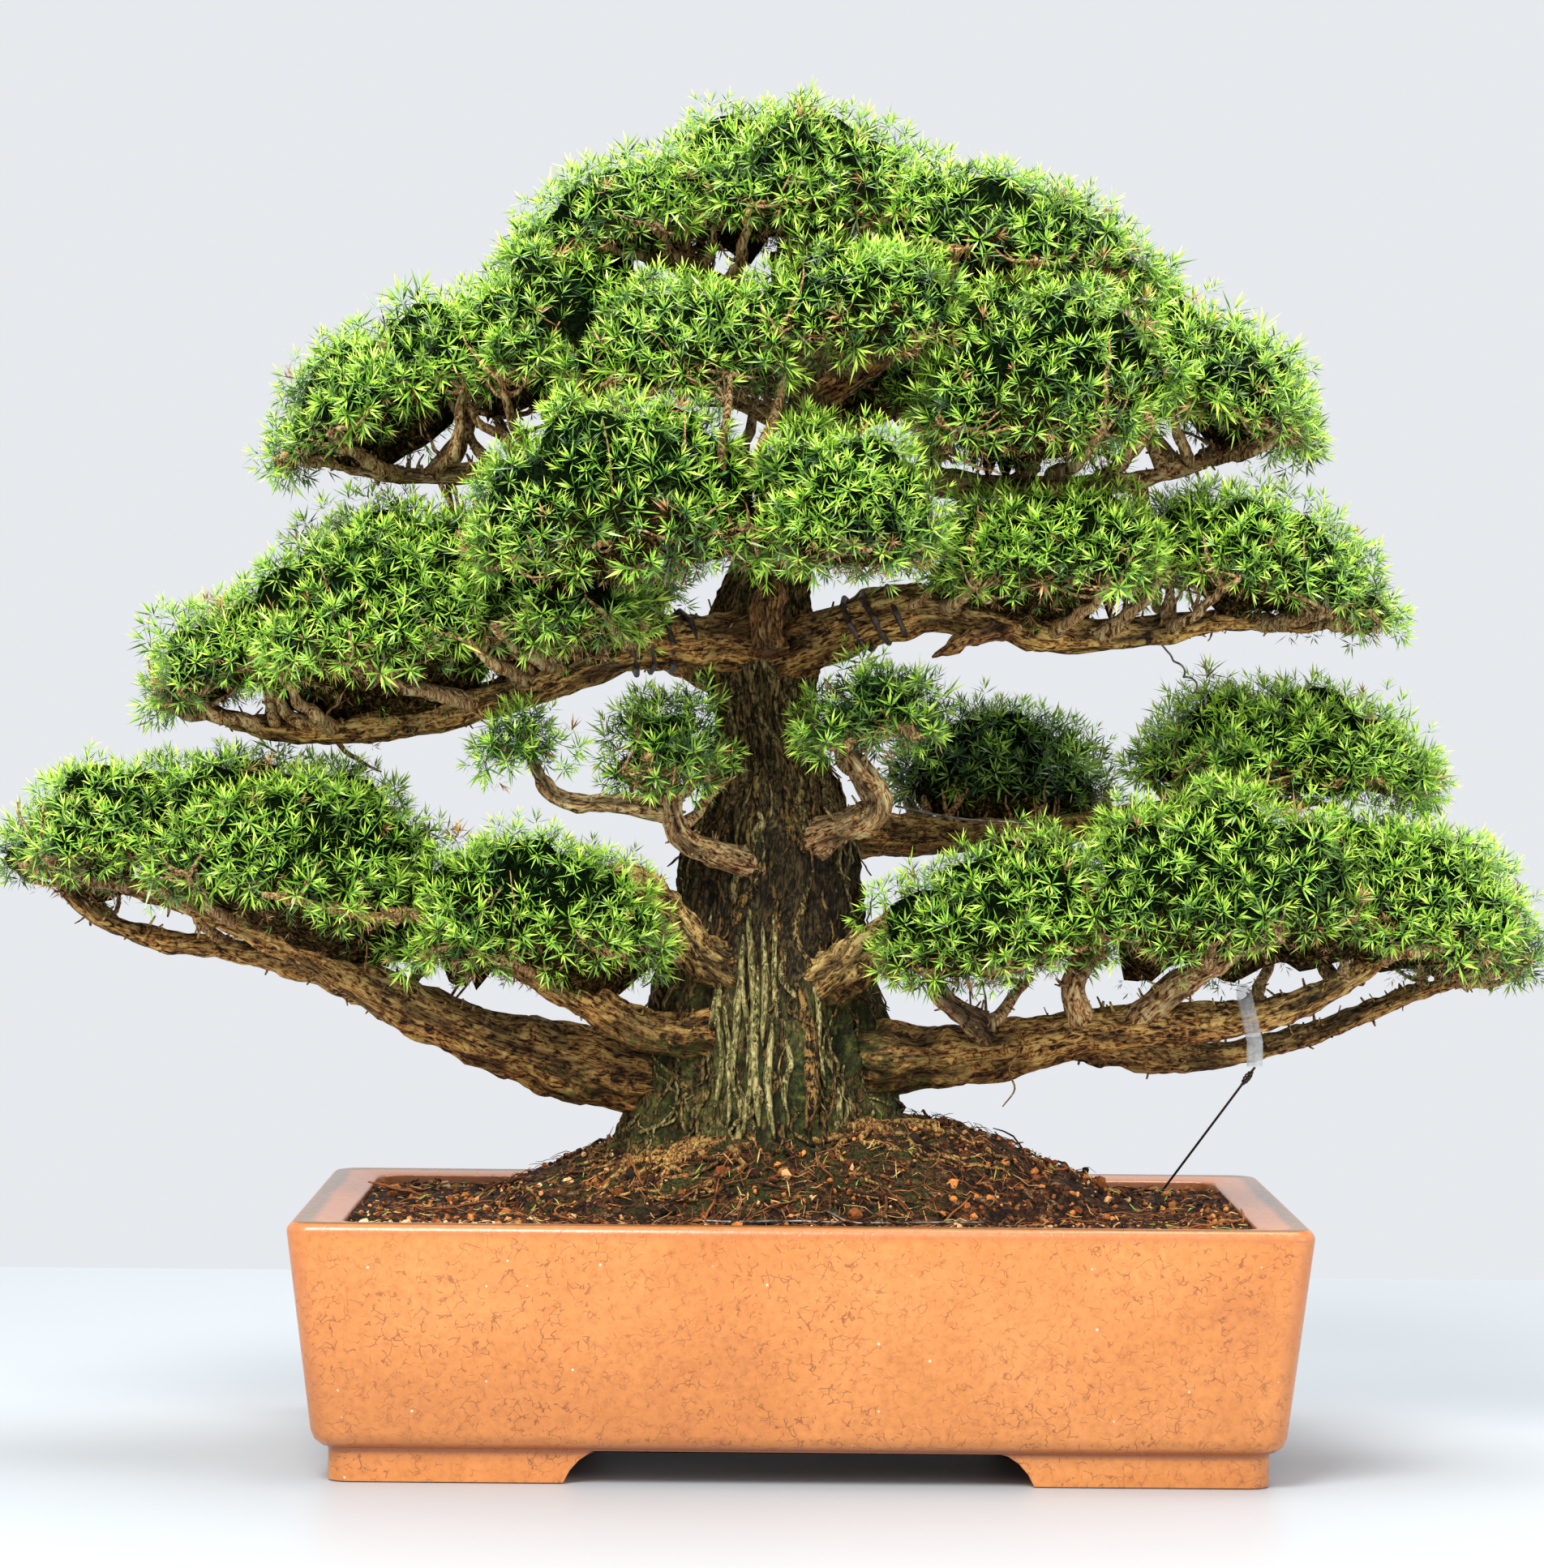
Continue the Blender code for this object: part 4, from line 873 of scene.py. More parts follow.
def make_strips():
    """Loose strips of bark: many thin dark ones all round, and a few broad bleached ones up the front."""
    rng = np.random.default_rng(SEED)
    steps = 14
    share = np.linspace(0, 1, steps)[None]
    count = 330
    middle = rng.uniform(0, 2 * math.pi, (count, 1))
    low = rng.uniform(0, 1, (count, 1)) ** 1.3 * 250 + 4
    long = rng.uniform(18, 62, (count, 1))
    turns = middle + rng.normal(0, 0.12, (count, 1)) * share + 0.05 * np.sin(7 * share + middle * 9)
    heights = low + long * share
    widths = rng.uniform(0.7, 2.6, count)
    peel = rng.uniform(-0.2, 1, (count, 1)) ** 3 * 7
    lift = 0.6 + np.abs(peel) * (2 * share - 1) ** 4
    thin = ribbons(turns, heights, widths, lift, 0.55)
    tone = np.repeat(rng.uniform(0, 1, count), steps * RIBBON_EDGES)
    # the bleached strands: middle turn, low, high, half width
    broad = np.array([
        (-1.62, 40, 118, 2.9), (-1.80, 60, 136, 2.2), (-1.50, 34, 92, 2.4), (-1.95, 44, 122, 1.8),
        (-1.38, 48, 84, 2.0),
        (-1.70, 88, 150, 2.2), (-2.08, 88, 134, 1.6), (-0.95, 20, 60, 1.8), (-1.22, 36, 112, 4.6),
        (-1.10, 60, 110, 1.8),
        (-1.56, 80, 142, 2.0), (-1.68, 36, 96, 2.0), (-1.86, 38, 100, 1.7), (-1.44, 92, 146, 1.7),
        (-1.74, 70, 128, 1.8)])
    turns = broad[:, :1] + 0.03 * np.sin(5 * share + broad[:, 1:2]) - 0.04 * share
    heights = broad[:, 1:2] + (broad[:, 2:3] - broad[:, 1:2]) * share
    wide = ribbons(turns, heights, broad[:, 3], 1.4 + 0.8 * np.sin(9 * share + broad[:, 3:4]), 1.9)
    points, faces = joined([thin, wide])
    world = placed(points)
    stain_and_painted_light = np.zeros((len(points), 3))
    thin_points = len(thin[0])
    stain_and_painted_light[:thin_points, 1] = np.clip(tone * 1.2 - 0.5, 0, 0.7)
    stain_and_painted_light[:thin_points, 2] = np.clip(0.55 - tone, 0, 0.6)
    stain_and_painted_light[:thin_points, 0] = np.clip(0.35 * np.sin(tone * 40), 0, 1)
    red = np.repeat(np.arange(len(broad)) == 8, steps * RIBBON_EDGES)
    stain_and_painted_light[thin_points:, 1] = np.where(red, 0.0, 0.80)
    stain_and_painted_light[thin_points:, 0] = np.where(red, 0.0, 0.30)
    wood_piece("bark_strips", world, faces, world, stain_and_painted_light, TRUNK_BARK)


# Cut and torn ends that show on the front, in the same terms as BRANCHES
RED_STUBS = {
    "pruned_stub": (6.5, 8.6, [(-17, -14, 314), (-18, -27, 303), (-18, -36, 291), (-17, -40, 279)]),
    "peeled_stub": (6.5, 1.6, [(102, -44, 293), (90, -53, 289), (77, -57, 284), (64, -56, 277)]),
}
TUFT_TWIG = (5.5, 2.4, [(-65, -60, 198), (-90, -64, 202), (-122, -64, 205), (-134, -62, 220),
                        (-141, -60, 238)])


def make_stubs():
    """Two reddish torn ends and the twig that carries the outer tuft."""
    for number, (name, (root, tip, route)) in enumerate(RED_STUBS.items()):
        stub = bark_tube(route, root, tip, 70 + number, 24, 0.0022, 1.5, blunt=name == "pruned_stub")
        wood_piece(name, *stub, RED_BARK)
    root, tip, route = TUFT_TWIG
    wood_piece("tuft_twig", *bark_tube(route, root, tip, 75, 16, pale=0.2), LIMB_BARK)


make_trunk()
make_strips()
make_branches()
make_stubs()


# ---------------------------------------------------------------- foliage

GOLDEN_TURN = 2.39996  # radians from one needle or shoot of a spiral to the next
LOBE_AREA = 620.0
LOBE_SIZE = 27.0
LOBE_HEIGHT = 10.5
LOBE_SINK = 6.5
DOME_AREA = 560.0
LOOSE_DOME_AREA = 520
DOME_SPREAD = 1.12
DRY_TONE = 0.02


def wave_of(turn, x, y, high):
    """How far a pad's edge swings in and out round its middle."""
    phase = 0.02 * (x + 2 * y + 3 * high)
    return 1 + PAD_LUMP * (np.sin(3 * turn + phase) + 0.6 * np.sin(5 * turn - 2 * phase))


def pad_surface(pad, directions, inset=0.0):
    """Points in millimetres of a pad's outer skin, this far inside it, in the given directions: a ball
    pressed into a cushion, domed above and shallow below, with a wavy edge and a slope along X."""
    x, y, low, high, half_x, half_y, slope = pad
    under = (high - low) * PAD_UNDER_SHARE
    over = high - low - under
    turn = np.arctan2(directions[:, 1], directions[:, 0])
    flat = np.hypot(directions[:, 0], directions[:, 1])
    full = wave_of(turn, x, y, high) * np.maximum(flat, 0.05) ** (PAD_FULLNESS - 1)
    px = directions[:, 0] * full * (half_x - inset)
    py = directions[:, 1] * full * (half_y - inset)
    pz = directions[:, 2] * (np.where(directions[:, 2] > 0, over, under) - inset * 0.8)
    return np.stack([px + x, py + y, pz + slope * px + low + under], 1)


def depth_in(pad, points):
    """Where points lie in a pad: 0 at its middle, 1 on its skin and more outside it."""
    x, y, low, high, half_x, half_y, slope = pad
    under = (high - low) * PAD_UNDER_SHARE
    over = high - low - under
    px, py = points[:, 0] - x, points[:, 1] - y
    turn = np.arctan2(py / half_y, px / half_x)
    flat = (np.hypot(px / half_x, py / half_y) / wave_of(turn, x, y, high)) ** (1 / PAD_FULLNESS)
    rise = points[:, 2] - (low + under) - slope * px
    return flat**2 + (rise / np.where(rise > 0, over, under)) ** 2


def skin_normals(pad, points):
    """Outward directions of a pad's skin, from how depth_in changes over half a millimetre each way."""
    steps = np.eye(3) * 0.5
    return unit(np.stack([depth_in(pad, points + s) - depth_in(pad, points - s) for s in steps], 1))


def open_to_air(name, points, limit=0.80):
    """True for points that no other pad swallows."""
    free = np.ones(len(points), bool)
    for other, pad in PADS.items():
        if other != name:
            free &= depth_in(pad, points) > limit
    return free


def two_across(axes):
    """Two unit directions across each axis, square to it and to each other."""
    other = np.where(np.abs(axes[:, 2:]) < 0.9, np.array([[0.0, 0.0, 1.0]]), np.array([[1.0, 0.0, 0.0]]))
    first = unit(np.cross(other, axes))
    return first, np.cross(axes, first)


def spread_out(points, count, rng):
    """Places of count points chosen one after another, each as far as it can be from those before it."""
    chosen = [int(rng.integers(len(points)))]
    away = np.full(len(points), np.inf)
    for _ in range(count - 1):
        away = np.minimum(away, np.linalg.norm(points - points[chosen[-1]], axis=1))
        chosen.append(int(away.argmax()))
    return np.array(chosen)


def star_shoots(rng, kinds=8, needles=12):
    """Several shapes of shoot, in millimetres, growing along +Z. Each needle is a thin keeled blade of
    four faces: foot, left and right edge, and tip. Old outer needles spread wide from low on the stem
    and young inner ones stand up at its end. Returns the points and each point's age on the growth map."""
    order = np.arange(needles)[None]
    share = order / (needles - 1)
    turn = order * GOLDEN_TURN + rng.uniform(0, 6.28, (kinds, 1)) + rng.normal(0, 0.22, (kinds, needles))
    lean = np.radians(84 - 62 * share**1.2 + rng.normal(0, 9, (kinds, needles)))
    length = 8.4 - 3.0 * share + rng.normal(0, 1.2, (kinds, needles))
    foot_z = -4.2 + 4.0 * share
    along = np.stack([np.cos(turn) * np.sin(lean), np.sin(turn) * np.sin(lean), np.cos(lean)], -1)
    side = np.stack([-np.sin(turn), np.cos(turn), 0 * turn], -1)
    over = np.cross(side, along) * -1
    foot = np.stack([0 * turn, 0 * turn, foot_z + 0 * turn], -1) + along * 0.25
    tip = foot + along * length[..., None] + np.array([0, 0, 0.35])
    middle = foot + along * (length * 0.42)[..., None] + over * 0.22
    half = 0.43 + 0.05 * rng.normal(size=(kinds, needles, 1))
    points = np.stack([foot, middle - side * half, middle + side * half, tip], 2)
    young = 0.06 + 0.62 * share**1.5
    age = np.stack([young + 0 * turn, young + 0.16 + 0 * turn, young + 0.16 + 0 * turn,
                    young + 0.34 + 0 * turn], -1)
    return points.reshape(kinds, -1, 3), np.clip(age.reshape(kinds, -1), 0, 1)


NEEDLE_FACES = np.array([(0, 1, 2), (1, 3, 2), (0, 3, 1), (0, 2, 3)])


def grow_shoots(shoots, places, axes, sizes, tones, rng):
    """Copies of the shoots at the places, turned to the axes and scaled. Returns points, faces and map."""
    shapes, ages = shoots
    count, corners = len(places), shapes.shape[1]
    kind = rng.integers(0, len(shapes), count)
    spin = rng.uniform(0, 2 * math.pi, count)
    first, second = two_across(axes)
    right = first * np.cos(spin)[:, None] + second * np.sin(spin)[:, None]
    ahead = np.cross(axes, right)
    turned = np.stack([right, ahead, axes], 1) * sizes[:, None, None]
    points = np.einsum("nci,nij->ncj", shapes[kind], turned) + places[:, None]
    blades = corners // 4
    one = (NEEDLE_FACES[None] + 4 * np.arange(blades)[:, None, None]).reshape(-1, 3)
    faces = (one[None] + (np.arange(count) * corners)[:, None, None]).reshape(-1, 3)
    age = ages[kind]
    tone = np.repeat(tones[:, None], corners, 1) + 0.004 * (np.arange(corners)[None] % 4 - 1.5)
    growth = np.stack([np.clip(tone, 0.0, 1.0), np.clip(age, 0.003, 0.997)], -1)
    return points.reshape(-1, 3), faces, growth.reshape(-1, 2)


def lobes_of(pad, rng):
    """Middles of the lobes that a pad's skin swells into, spread evenly over it."""
    _, _, low, high, half_x, half_y, _ = pad
    sample = pad_surface(pad, unit(rng.normal(size=(1500, 3))))
    sample = sample[skin_normals(pad, sample)[:, 2] > -0.5]
    count = int(np.clip((half_x * half_y + (half_x + half_y) * (high - low) / 2) / LOBE_AREA, 4, 16))
    middles = sample[spread_out(sample, count, rng)]
    return middles + rng.normal(0, 5, middles.shape), rng.uniform(0.6, 1.3, count)


def swell(points, normals, lobes, inset=0.0):
    """Moves skin points out by a rounded hill over each lobe, of height LOBE_HEIGHT times 1 - d^2 for
    the distance d in lobe sizes from its middle, then by noise of two sizes, and in by the inset."""
    middles, heights = lobes
    away = np.linalg.norm(points[:, None] - middles[None], axis=2) / LOBE_SIZE
    hill = ((1 - away**2) * heights + (heights - 1) * 0.35).max(axis=1)
    hill = np.clip(hill, -0.75, 1.2)
    lift = LOBE_HEIGHT * hill - LOBE_SINK + 3.4 * value_noise(points / 21.0, 91)
    lift = lift + 2.0 * value_noise(points / 9.0, 92)
    lift = lift * np.clip(1.15 + 0.9 * normals[:, 2], 0.25, 1)
    return points + normals * (lift - inset)[:, None]


def wood_below():
    """Points along every branch and the upper trunk, in millimetres, with the half thickness at each."""
    points, radii = [], []
    for root, tip, route in BRANCHES.values():
        path, length = evenly(smooth_path(np.asarray(route, float), 8), 5.0)
        points.append(path)
        radii.append(tapered(root, tip, length / length[-1]))
    upper = smooth_path(TRUNK, 3)[24:]
    return np.vstack([*points, upper[:, :3]]), np.concatenate([*radii, upper[:, 3]])


WOOD, WOOD_RADII = wood_below()


def pad_core(name, pad, lobes, number):
    """The shaded inside of a pad: its swollen skin moved in and roughened, so that little light comes
    through. Where wood runs close below, the underside hangs down to it, by a bell curve of the distance
    from the wood. Its growth number says how far it faces down."""
    rows, columns = 25, 38
    tilt = np.linspace(0, math.pi, rows)[:, None]
    turn = np.arange(columns)[None] * 2 * math.pi / columns
    ball = np.stack(np.broadcast_arrays(np.sin(tilt) * np.cos(turn), np.sin(tilt) * np.sin(turn),
                                        -np.cos(tilt)), -1)
    ball = ball.reshape(-1, 3)
    skin = pad_surface(pad, ball)
    normals = skin_normals(pad, skin)
    points = swell(skin, normals, lobes, 20.0 if name in LOOSE_PADS else 14.0)
    gap = points[:, None, :2] - WOOD[None, :, :2]
    nearest = np.linalg.norm(gap, axis=2).argmin(1)
    away = np.linalg.norm(points[:, :2] - WOOD[nearest][:, :2], axis=1)
    drop = points[:, 2] - WOOD[nearest][:, 2]
    drop = np.where(drop < 46, np.clip(drop, 0, 20), 0) * np.exp(-((away / 26) ** 2))
    patchy = np.clip(0.95 + 0.9 * value_noise(points * np.array([1, 0, 0]) / 24.0, 61), 0, 1)
    points[:, 2] -= drop * np.clip(-1.8 * normals[:, 2], 0, 1) * patchy * (name not in OPEN_BELOW)
    points += normals * (2.6 * value_noise(points / 5.0, 62) * (normals[:, 2] < 0.1))[:, None]
    for ring in (slice(0, columns), slice(-columns, None)):
        points[ring] = points[ring].mean(axis=0) + (points[ring] - points[ring].mean(axis=0)) * 0.05
    under = np.clip(0.3 - 1.3 * normals[:, 2] + 0.5 * value_noise(points / 14.0, number), 0, 1)
    return points, closed_grids(1, rows, columns), under, normals


def under_shoots(core, rng, shoots):
    """Small dry shoots, and some dark green ones, over the underside of a core."""
    points, _, under, normals = core
    low = np.flatnonzero(under > 0.45)
    spots = low[rng.integers(0, len(low), int(len(low) * 0.62))]
    places = points[spots] + normals[spots] * rng.uniform(-1, 4, (len(spots), 1))
    places = places + rng.normal(0, 3, (len(spots), 3))
    axes = unit(normals[spots] * [1, 1, 0.5] + rng.normal(0, 0.5, (len(spots), 3)))
    tones = np.where(rng.uniform(size=len(spots)) < 0.46, DRY_TONE, rng.uniform(0.10, 0.46, len(spots)))
    return grow_shoots(shoots, places, axes, rng.uniform(0.5, 0.95, len(spots)), tones, rng)


def dome_shoots(rng, centre, facing, dome, per_dome):
    """Places and axes of shoots on domes: a spiral of golden turns from each dome's top down its sides,
    and how far up its dome each lies, from 1 at the top to 0 level with its middle."""
    each = np.repeat(np.arange(len(centre)), per_dome)
    order = np.concatenate([np.arange(n) for n in per_dome])
    axis = unit(facing + np.array([0, 0, 0.35]))
    rise = 1 - (order + 0.5) / per_dome[each] * DOME_SPREAD
    turn = order * GOLDEN_TURN + rng.uniform(0, 6.28, len(centre))[each] + rng.normal(0, 0.2, len(each))
    first, second = two_across(axis)
    flat = np.sqrt(np.clip(1 - rise**2, 0, 1))
    out = (axis[each] * rise[:, None] + first[each] * (flat * np.cos(turn))[:, None]
           + second[each] * (flat * np.sin(turn))[:, None])
    reach = dome[each] * rng.uniform(0.76, 1.08, len(each))
    reach = reach * (1 + 0.34 * (rng.uniform(size=len(each)) < 0.11))
    places = centre[each] + out * reach[:, None] + rng.normal(0, 1.2, (len(each), 3))
    axes = unit(out + np.array([0, 0, 0.30]) + rng.normal(0, 0.24, (len(each), 3)))
    return each, rise, places, axes


def pad_shoots(name, pad, lobes, rng, shoots):
    """Shoots on domes spread over a pad's swollen skin, with dark ones between them as painted shade and
    small dry ones underneath. Shoots low on a dome or facing down are darker: painted shade."""
    loose = name in LOOSE_PADS
    x, y, low, high, half_x, half_y, slope = pad
    skin = pad_surface(pad, unit(rng.normal(size=(6000, 3))))
    normal = skin_normals(pad, skin)
    skin = swell(skin, normal, lobes)
    share_up = (skin[:, 2] - low - slope * (skin[:, 0] - x)) / (high - low)
    bare = np.clip(0.95 - 2.6 * share_up, 0, 1) * 0.9 + 0.35 * value_noise(skin / 19.0, 95)
    air = open_to_air(name, skin)
    green = air & (rng.uniform(size=len(skin)) > bare) & (normal[:, 2] > -0.75)
    if loose:
        green &= value_noise(skin / 17.0, 96) > -0.42
    under = air & ~green & (share_up < 0.55)
    side = ((half_x + half_y) / 2 * (high - low) / 2) ** 1.6
    area = 4 * math.pi * (((half_x * half_y) ** 1.6 + 2 * side) / 3) ** 0.625
    count = int(area * green.mean() / (LOOSE_DOME_AREA if loose else DOME_AREA))
    sample, facing = skin[green], normal[green]
    picked = spread_out(sample, count, rng)
    dome = rng.uniform(12.0, 18.5, count) * (0.80 if loose else 1.0)
    sunk = dome * rng.uniform(0.86, 1.20, count)
    per_dome = (dome**2 / 16.0).astype(int)
    each, rise, places, axes = dome_shoots(
        rng, sample[picked] - facing[picked] * sunk[:, None], facing[picked], dome, per_dome)
    sizes = rng.uniform(0.80, 1.28, len(each)) * (1 + 0.35 * (rng.uniform(size=len(each)) < 0.08))
    tones = 0.56 + rng.normal(0, 0.12, count)[each] + rng.normal(0, 0.11, len(each))
    # darker low on a dome and facing down, lighter on top and facing up: painted shade and light
    tones += 0.48 * (rise - 0.42) + 0.12 * np.clip(facing[picked][each][:, 2], -1, 1)
    tones = np.where(rng.uniform(size=len(each)) < 0.018, 0.0, tones)
    # dark fill shoots deeper in: painted shade between the domes
    fill = int(count * (3.2 if not loose else 8))
    where = rng.integers(0, len(sample), fill)
    fill_places = sample[where] - facing[where] * rng.uniform(8, 17, fill)[:, None]
    fill_axes = unit(facing[where] + rng.normal(0, 0.5, (fill, 3)))
    dry_places, dry_axes = np.empty((0, 3)), np.empty((0, 3))
    if under.any():
        spots = np.flatnonzero(under)[rng.integers(0, under.sum(), int(area * under.mean() / 140))]
        dry_places = skin[spots] - normal[spots] * rng.uniform(5, 15, len(spots))[:, None]
        dry_axes = unit(normal[spots] + rng.normal(0, 0.6, (len(spots), 3)))
    dry = len(dry_places)
    brown = np.concatenate([tones == 0, np.zeros(fill, bool)])
    # fill shoots take low tones and the pads at the back lose tone: painted shade
    tones = np.clip(np.concatenate([tones, 0.14 + rng.normal(0, 0.07, fill)]) - SHADED_PADS.get(name, 0.0),
                    0.06, 0.99)
    tones = np.where(brown, DRY_TONE, tones)
    tones = np.concatenate([tones, np.where(rng.uniform(size=dry) < 0.68, DRY_TONE, 0.26)])
    sizes = np.concatenate([sizes, rng.uniform(0.8, 1.3, fill), rng.uniform(0.42, 0.8, dry)])
    places, axes = np.vstack([places, fill_places, dry_places]), np.vstack([axes, fill_axes, dry_axes])
    places[:, 1] = np.clip(places[:, 1], y - half_y + 3, y + half_y - 1)
    free = open_to_air(name, places, 0.62)
    return grow_shoots(shoots, places[free], axes[free], sizes[free], tones[free], rng)


def make_foliage():
    """The shoots of each pad as a piece of their own, and the shaded insides of all pads as one."""
    rng = np.random.default_rng(SEED)
    shoots, sparse_shoots = star_shoots(rng), star_shoots(rng, 6, 6)
    cores = []
    for number, (name, pad) in enumerate({**PADS, **TUFTS}.items()):
        lobes = lobes_of(pad, rng)
        points, faces, growth = pad_shoots(name, pad, lobes, rng, shoots)
        if name not in TUFTS:
            cores.append(pad_core(name, pad, lobes, number))
            more_points, more_faces, more_growth = under_shoots(cores[-1], rng, sparse_shoots)
            faces = np.vstack([faces, more_faces + len(points)])
            points, growth = np.vstack([points, more_points]), np.vstack([growth, more_growth])
        mesh = new_mesh(name, placed(points), [faces], smooth=False)
        give_map(mesh, "OFBake", growth)
        give_vectors(mesh, "growth", np.column_stack([growth, np.zeros(len(growth))]))
        new_piece(name + "_needles", mesh, NEEDLES, "foliage", *(() if name in TUFTS else (name,)))
    points, faces = joined([core[:2] for core in cores])
    mesh = new_mesh("shade", placed(points), faces)
    under = np.concatenate([core[2] for core in cores])
    give_vectors(mesh, "growth", np.stack([under, 0 * under, 0 * under], 1))
    new_piece("foliage_shade", mesh, SHADE, "foliage")


def make_pad_wood():
    """Wood that climbs from the branches into each pad. A few knobbly limbs leave a branch nearer the
    trunk than the place they reach. Many thin twigs leave a branch or a limb, bend low and end just
    under the skin."""
    rng = np.random.default_rng(SEED + 4)
    limb_starts, limb_ends, twig_starts, twig_ends = [], [], [], []
    t = np.linspace(0, 1, 6)[:, None, None]
    for pad in PADS.values():
        x, y, low, high, half_x, half_y, slope = pad
        near = depth_in((x, y, low - 16, high, half_x + 10, half_y, slope), WOOD) < 1.2
        hosts = WOOD[near]
        if len(hosts) < 3:
            hosts = WOOD[np.linalg.norm(WOOD - np.array([x, y, low + 8]), axis=1).argsort()[:7]]
        count = int(3 + half_x / 16)
        turn = np.arange(count) * GOLDEN_TURN + rng.uniform(0, 6.28)
        directions = unit(np.stack([np.cos(turn), np.sin(turn) * 0.7 - 0.35,
                                    rng.uniform(-0.55, -0.05, count)], 1))
        end = pad_surface(pad, directions, 9.0)
        leant = hosts + np.stack([np.sign(hosts[:, 0] + 18), 0 * hosts[:, 0], 0 * hosts[:, 0]], 1) * 26
        gap = np.linalg.norm(end[:, None] - leant[None], axis=2) + rng.uniform(0, 14, (count, len(hosts)))
        start = hosts[gap.argmin(1)]
        limb_starts.append(start)
        limb_ends.append(end)
        along = ((1 - t) * start[None] + t * end[None]).reshape(-1, 3)
        both = np.vstack([hosts, along])
        count = int(16 + half_x * half_y / 190)
        directions = unit(rng.normal(size=(count, 3)) * np.array([1, 1, 0.5]) + np.array([0, -0.2, -0.30]))
        end = pad_surface(pad, directions, 1.0)
        end -= skin_normals(pad, end) * rng.uniform(2, 14, (count, 1))
        gap = np.linalg.norm(end[:, None] - both[None], axis=2) + rng.uniform(0, 30, (count, len(both)))
        twig_starts.append(both[gap.argmin(1)])
        twig_ends.append(end)
    wood_between("pad_limbs", np.vstack(limb_starts), np.vstack(limb_ends), 15, 8, (3.6, 5.2), 0.62, 3.2,
                 0.10, 14)
    wood_between("pad_twigs", np.vstack(twig_starts), np.vstack(twig_ends), 8, 4, (0.9, 1.8), 0.68, 3.4,
                 -0.02, 0)


def wood_between(name, start, end, steps, sides, thick, taper, wander, sag, stubble):
    """Tapering wood from each start to its end along (1 - t)^2 a + 2 t (1 - t) b + t^2 c, with b low
    between them, wandering by noise. Stubble is how many short pegs stand on each."""
    rng = np.random.default_rng(SEED + steps)
    count = len(start)
    t = np.linspace(0, 1, steps)[None, :, None]
    bend = start * 0.42 + end * 0.58
    bend[:, 2] = np.minimum(start[:, 2], end[:, 2]) + (0.22 + sag) * np.abs(end[:, 2] - start[:, 2]) - 1
    path = (1 - t) ** 2 * start[:, None] + 2 * t * (1 - t) * bend[:, None] + t**2 * end[:, None]
    wiggle = np.stack([value_noise(path / 11.0 + 9.0 * k + start[:, None, :1], 80 + k) for k in range(3)], -1)
    path = path + wiggle * wander * np.sin(np.pi * t) ** 0.6
    radii = rng.uniform(*thick, (count, 1)) * (1 - taper * t[..., 0])
    radii = radii * (1 + 0.24 * value_noise(path / 4.0, 88))
    points, faces = tubes(path, radii, sides)
    points = points + 0.55 * value_noise(points / 1.9, 89)[:, None] * unit(rng.normal(size=(1, 3)))
    grain = grain_of_tubes(placed(points), steps, sides, 3)
    if stubble:
        which = np.repeat(np.arange(count), stubble)
        at = rng.integers(1, steps, len(which))
        out = unit(rng.normal(size=(len(which), 3)) + np.array([0, -0.4, 0.1]))
        foot = path[which, at]
        reach = (radii[which, at] * rng.uniform(1.15, 1.75, len(which)))[:, None]
        pegs = np.stack([foot, foot + out * reach * 0.7, foot + out * reach], 1)
        peg_points, peg_faces = tubes(pegs, np.array([[1.1, 0.9, 0.5]])
                                      * rng.uniform(0.6, 1.2, (len(which), 1)), 3)
        grain = np.vstack([grain, grain_of_tubes(placed(peg_points), 3, 3, 5)])
        points, faces = joined([(points, faces), (peg_points, peg_faces)])
    world = placed(points)
    stain_and_painted_light = np.column_stack([np.zeros(len(world)), np.full(len(world), 0.10),
                             np.clip(0.16 + 0.26 * value_noise(world * 90, 3), 0, 1)])
    wood_piece(name, world, faces, grain, stain_and_painted_light, LIMB_BARK)


make_pad_wood()
make_foliage()


# ---------------------------------------------------------------- soil

SOIL_MARGIN = 3.0  # how far loose things keep from the pot's lip, in millimetres


def soil_level(x, y):
    """Height of the soil in millimetres from the rim: level, a little lower at the back, rising in a
    soft cone to the trunk, with clods, lumps and crumbs of noise at three sizes."""
    out = np.hypot((x - 6) / 172, (y - 6) / 120)
    rise = np.clip((1 - out) / 0.60, 0, 1) ** 0.85
    flat = np.stack([x, y, 0 * x], -1)
    clods = layered_noise(flat / 26.0, 2, 31)
    lumps = ridged_noise(flat / 9.0, 2, 32)
    crumbs = value_noise(flat / 2.6, 33)
    back = np.clip((y - 70) / 60, 0, 1)
    rough = 0.45 + 0.55 * np.clip(rise * 3, 0, 1)
    return -4.2 - 3.2 * back * (1 - rise) + 43 * rise + rough * (3.4 * clods + 1.7 * lumps) + 0.8 * crumbs


